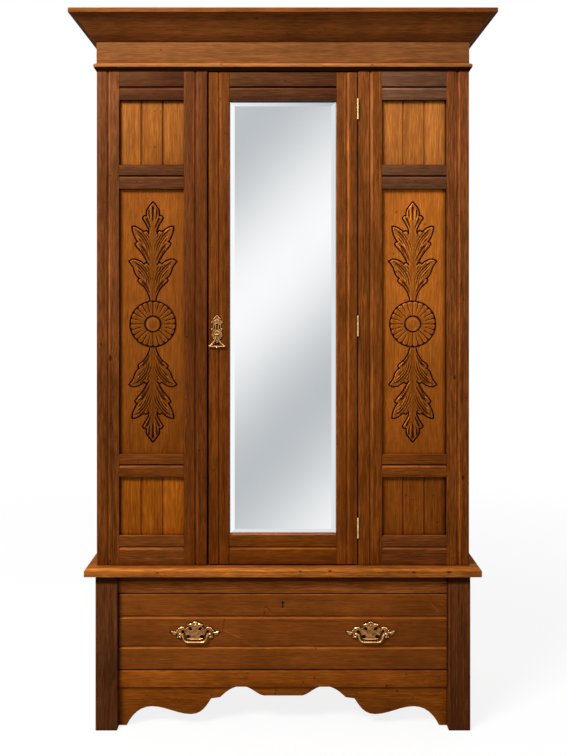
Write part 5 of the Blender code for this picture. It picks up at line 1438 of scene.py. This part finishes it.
def cast_plate(strokes, holes, face):
    """A pierced plate with a cushioned face and a raised rim, from the right half of its outline."""
    half = chain(strokes, PLATE_STEP)
    outline = np.concatenate([half, (half * (-1, 1))[-2:0:-1]])
    loops = [outline, *holes]

    def from_edge(points):
        return np.min([distance(points, np.concatenate([loop, loop[:1]]))[0] for loop in loops], axis=0)

    def within(points):
        return inside(points, outline) & ~np.any([inside(points, hole) for hole in holes], axis=0)

    def height(points):
        gap = from_edge(points)
        cushion = np.sqrt(1 - (1 - unit(gap / PLATE_ROUND)) ** 2)
        rim = PLATE_RIM * np.exp(-(((gap - PLATE_RIM_IN) / PLATE_RIM_HALF) ** 2))
        return PLATE_EDGE + (face - PLATE_EDGE) * cushion + rim

    low, high = outline.min(axis=0), outline.max(axis=0)
    across, along = (np.arange(low[i], high[i], PLATE_STEP) for i in (0, 1))
    grid = np.array([(x, z) for z in along for x in across])
    grid = grid[within(grid) & (from_edge(grid) > PLATE_STEP / 2)]
    edges = []
    for loop in loops:
        edges += loop_edges(len(loop), len(edges))
    plate = slab(np.concatenate([*loops, grid]), edges, within, height, 0)[1]
    middle, reach = (low + high) / 2, (high - low) / 2
    # A dark sheet a little larger than the plate, behind it and its holes: painted shadow
    shadow_sheet = middle + (outline - middle) * (1 + SHADOW_SHEET_MARGIN / reach)
    return plate, flat_slab(shadow_sheet, SHADOW_SHEET_FACE, 0)


def casting(strokes, holes, face, bars, beads):
    """A pierced plate on a dark sheet of painted shadow, with raised bars and beads."""
    plate, shadow_sheet = cast_plate(strokes, holes, face)
    shape = Shape().add(*plate).add(*shadow_sheet, PATINA_AND_SHADE)
    add_relief(shape, bars, beads, face)
    return shape


def joint_spot(name, out, up=0.0):
    """A joint's place, moved back to the face that its fitting stands on, and up."""
    x, y, z = next(joint["pos_m"] for joint in frame["joints"] if joint["name"] == name)
    return Vector((x, y + out * MM, z + up * MM))


def handle(hand, finishes):
    """A pierced plate with two posts, and the bail that swings between them."""
    spot = joint_spot(hand + "_bail_swing", BAIL_OUT)
    holes = [oval(*hole) * (side, 1) for hole in HANDLE_HOLES for side in (-1, 1)]
    plate = casting(HANDLE_STROKES, holes, HANDLE_FACE, HANDLE_BARS, HANDLE_BEADS)
    for side in (-1, 1):
        plate.add(*turned((side * POST, 0, POST_RISE), POST_PROFILE))
        plate.add(*ball((side * POST, BAIL_OUT, POST_RISE), POST_BALL), POLISHED)
    piece(hand + "_handle", plate, finishes, "drawer", spot, [hand + "_handle_plate"])
    bail = Shape()
    path = [(x, BAIL_OUT, z) for x, z in curve_through(whole_lines(BAIL_LINE)[0], ARM_STEPS)]
    bail.add(*bar(path, lambda t: BAIL_THIN + (BAIL_THICK - BAIL_THIN) * math.sin(math.pi * t)), POLISHED)
    for side in (-1, 1):
        bail.add(*turned((side * BAIL_COLLAR_AT, BAIL_OUT, BAIL_LINE[0][1]), BAIL_COLLAR, axis=0), POLISHED)
    piece(hand + "_bail_cast", bail, finishes, hand + "_bail", spot, [hand + "_bail"])


def ear(near, far):
    """A lug that holds the pin of the drop pull."""
    turns = [math.radians(a) for a in EAR_TURNS]
    arc = [(PIN_OUT + EAR_RADIUS * math.cos(a), PIN_LEVEL + EAR_RADIUS * math.sin(a)) for a in turns]
    top, foot = ((PLATE_EDGE, PIN_LEVEL + side * EAR_RADIUS) for side in (1, -1))
    return rings_to_shape([[(x, out, z) for out, z in (top, *arc, foot)] for x in (near, far)])


def escutcheon(spot, finishes):
    """The pierced plate round the door's keyhole, with the ears of the drop pull."""
    holes = [keyhole(*KEYHOLE)] + [oval(*ESCUTCHEON_SLOT) * (side, 1) for side in (-1, 1)]
    plate = casting(ESCUTCHEON_STROKES, holes, ESCUTCHEON_FACE, ESCUTCHEON_BARS, ESCUTCHEON_BEADS)
    for side in (-1, 1):
        plate.add(*ear(side * EAR_NEAR, side * EAR_FAR))
    piece("escutcheon", plate, finishes, "door", spot, ["escutcheon_plate"])


def drop_pull(spot, finishes):
    """A pull that swings between the ears: its knuckle and pin, two arms, and a ringed bar below."""
    drop = Shape()
    pin = (0, PIN_OUT, PIN_LEVEL)
    drop.add(*turned(pin, KNUCKLE, axis=0), POLISHED)
    drop.add(*turned(pin, [(PIN_RADIUS, side * (EAR_FAR + PIN_PAST)) for side in (-1, 1)], axis=0))
    thin, thick = DROP_ARM_RADII
    for line in whole_lines(DROP_ARM):
        path = [(x, PIN_OUT, z) for x, z in curve_through(line, ARM_STEPS)]
        drop.add(*bar(path, lambda t: thin + (thick - thin) * t), POLISHED)
    drop.add(*bar([(side * DROP_HALF, PIN_OUT, DROP_BAR) for side in (-1, 0, 1)], DROP_BAR_RADIUS), POLISHED)
    crest = [(x, PIN_OUT + RELIEF, z) for x, z in curve_through(whole_lines(DROP_CREST)[0], RELIEF_STEPS)]
    drop.add(*bar(crest, DROP_CREST_RADIUS), POLISHED)
    for x in DROP_RINGS:
        drop.add(*turned((x, PIN_OUT, DROP_BAR), DROP_RING, axis=0), POLISHED)
    add_beads(drop, DROP_BEADS, PIN_OUT)
    piece("drop", drop, finishes, "pull", spot, ["drop_pull"])


def drawer_keyhole(material):
    """A dark sheet in the shape of the keyhole in the drawer front: painted shade of the hole."""
    low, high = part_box("drawer_front")
    keyhole_shade = flat_slab(keyhole(*SHADED_KEYHOLE), SHADED_KEYHOLE_FACE, SHADED_KEYHOLE_BACK)
    spot = (SHADED_KEYHOLE_PLACE * MM, low.y, high.z - SHADED_KEYHOLE_BELOW * MM)
    piece("drawer_keyhole_shade", Shape().add(*keyhole_shade), [material], "drawer", spot)


def heads(name, places, face, body, material):
    """Round heads of nails or screws on a face that looks backwards."""
    shape = Shape()
    for x, z in places:
        shape.add(*turned((x / MM, 0, z / MM), HEAD_PROFILE, HEAD_SIDES))
    piece(name, shape, [material], body, (0, face, 0))


def between(low, high, share):
    """A place that is a share of the way from low to high."""
    return low + (high - low) * share


def back_nails(material):
    """Two nails in each back board at each of the rails behind it."""
    low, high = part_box("back_panel")
    _, start, width = boards_of("back_panel", ACROSS, BACK_BOARDS, 0)
    across = [start + (board + share) * width for board in range(BACK_BOARDS) for share in NAIL_PLACES]
    places = [(x, between(low.z, high.z, share)) for x in across for share in NAIL_LEVELS]
    heads("back_nails", places, high.y, "cabinet", material)


def backboard_screws(material):
    """Screws along both sides of the board behind the mirror."""
    low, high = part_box("mirror_backboard")
    across = (low.x + SCREW_INSET * MM, high.x - SCREW_INSET * MM)
    places = [(x, between(low.z, high.z, share)) for x in across for share in SCREW_LEVELS]
    heads("backboard_screws", places, high.y, "door", material)


def dress_metal():
    """Brass on the hinges and the lock, and the castings, nails and screws."""
    cast = [brass(*finish) for finish in CAST_FINISHES]
    bright = brass(*BRIGHT_FINISH)
    for node in nodes:
        if "hinge" in node or "lock" in node:
            dress(nodes[node], bright)
    for hand in HANDS:
        handle(hand, cast)
    spot = joint_spot("drop_pull_swing", PIN_OUT, -PIN_LEVEL)
    escutcheon(spot, cast)
    drop_pull(spot, cast)
    drawer_keyhole(cast[PATINA_AND_SHADE])
    back_nails(cast[PATINA_AND_SHADE])
    backboard_screws(bright)


edges = soft_edges_group()
studio_world()
studio_floor()
studio_light()
camera(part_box("left_outer_stile")[0].y)
dress_wood(edges)
frieze_and_neck(edges)
mirror_plate(silvered_glass())
dress_metal()

scene.view_settings.view_transform = "Standard"
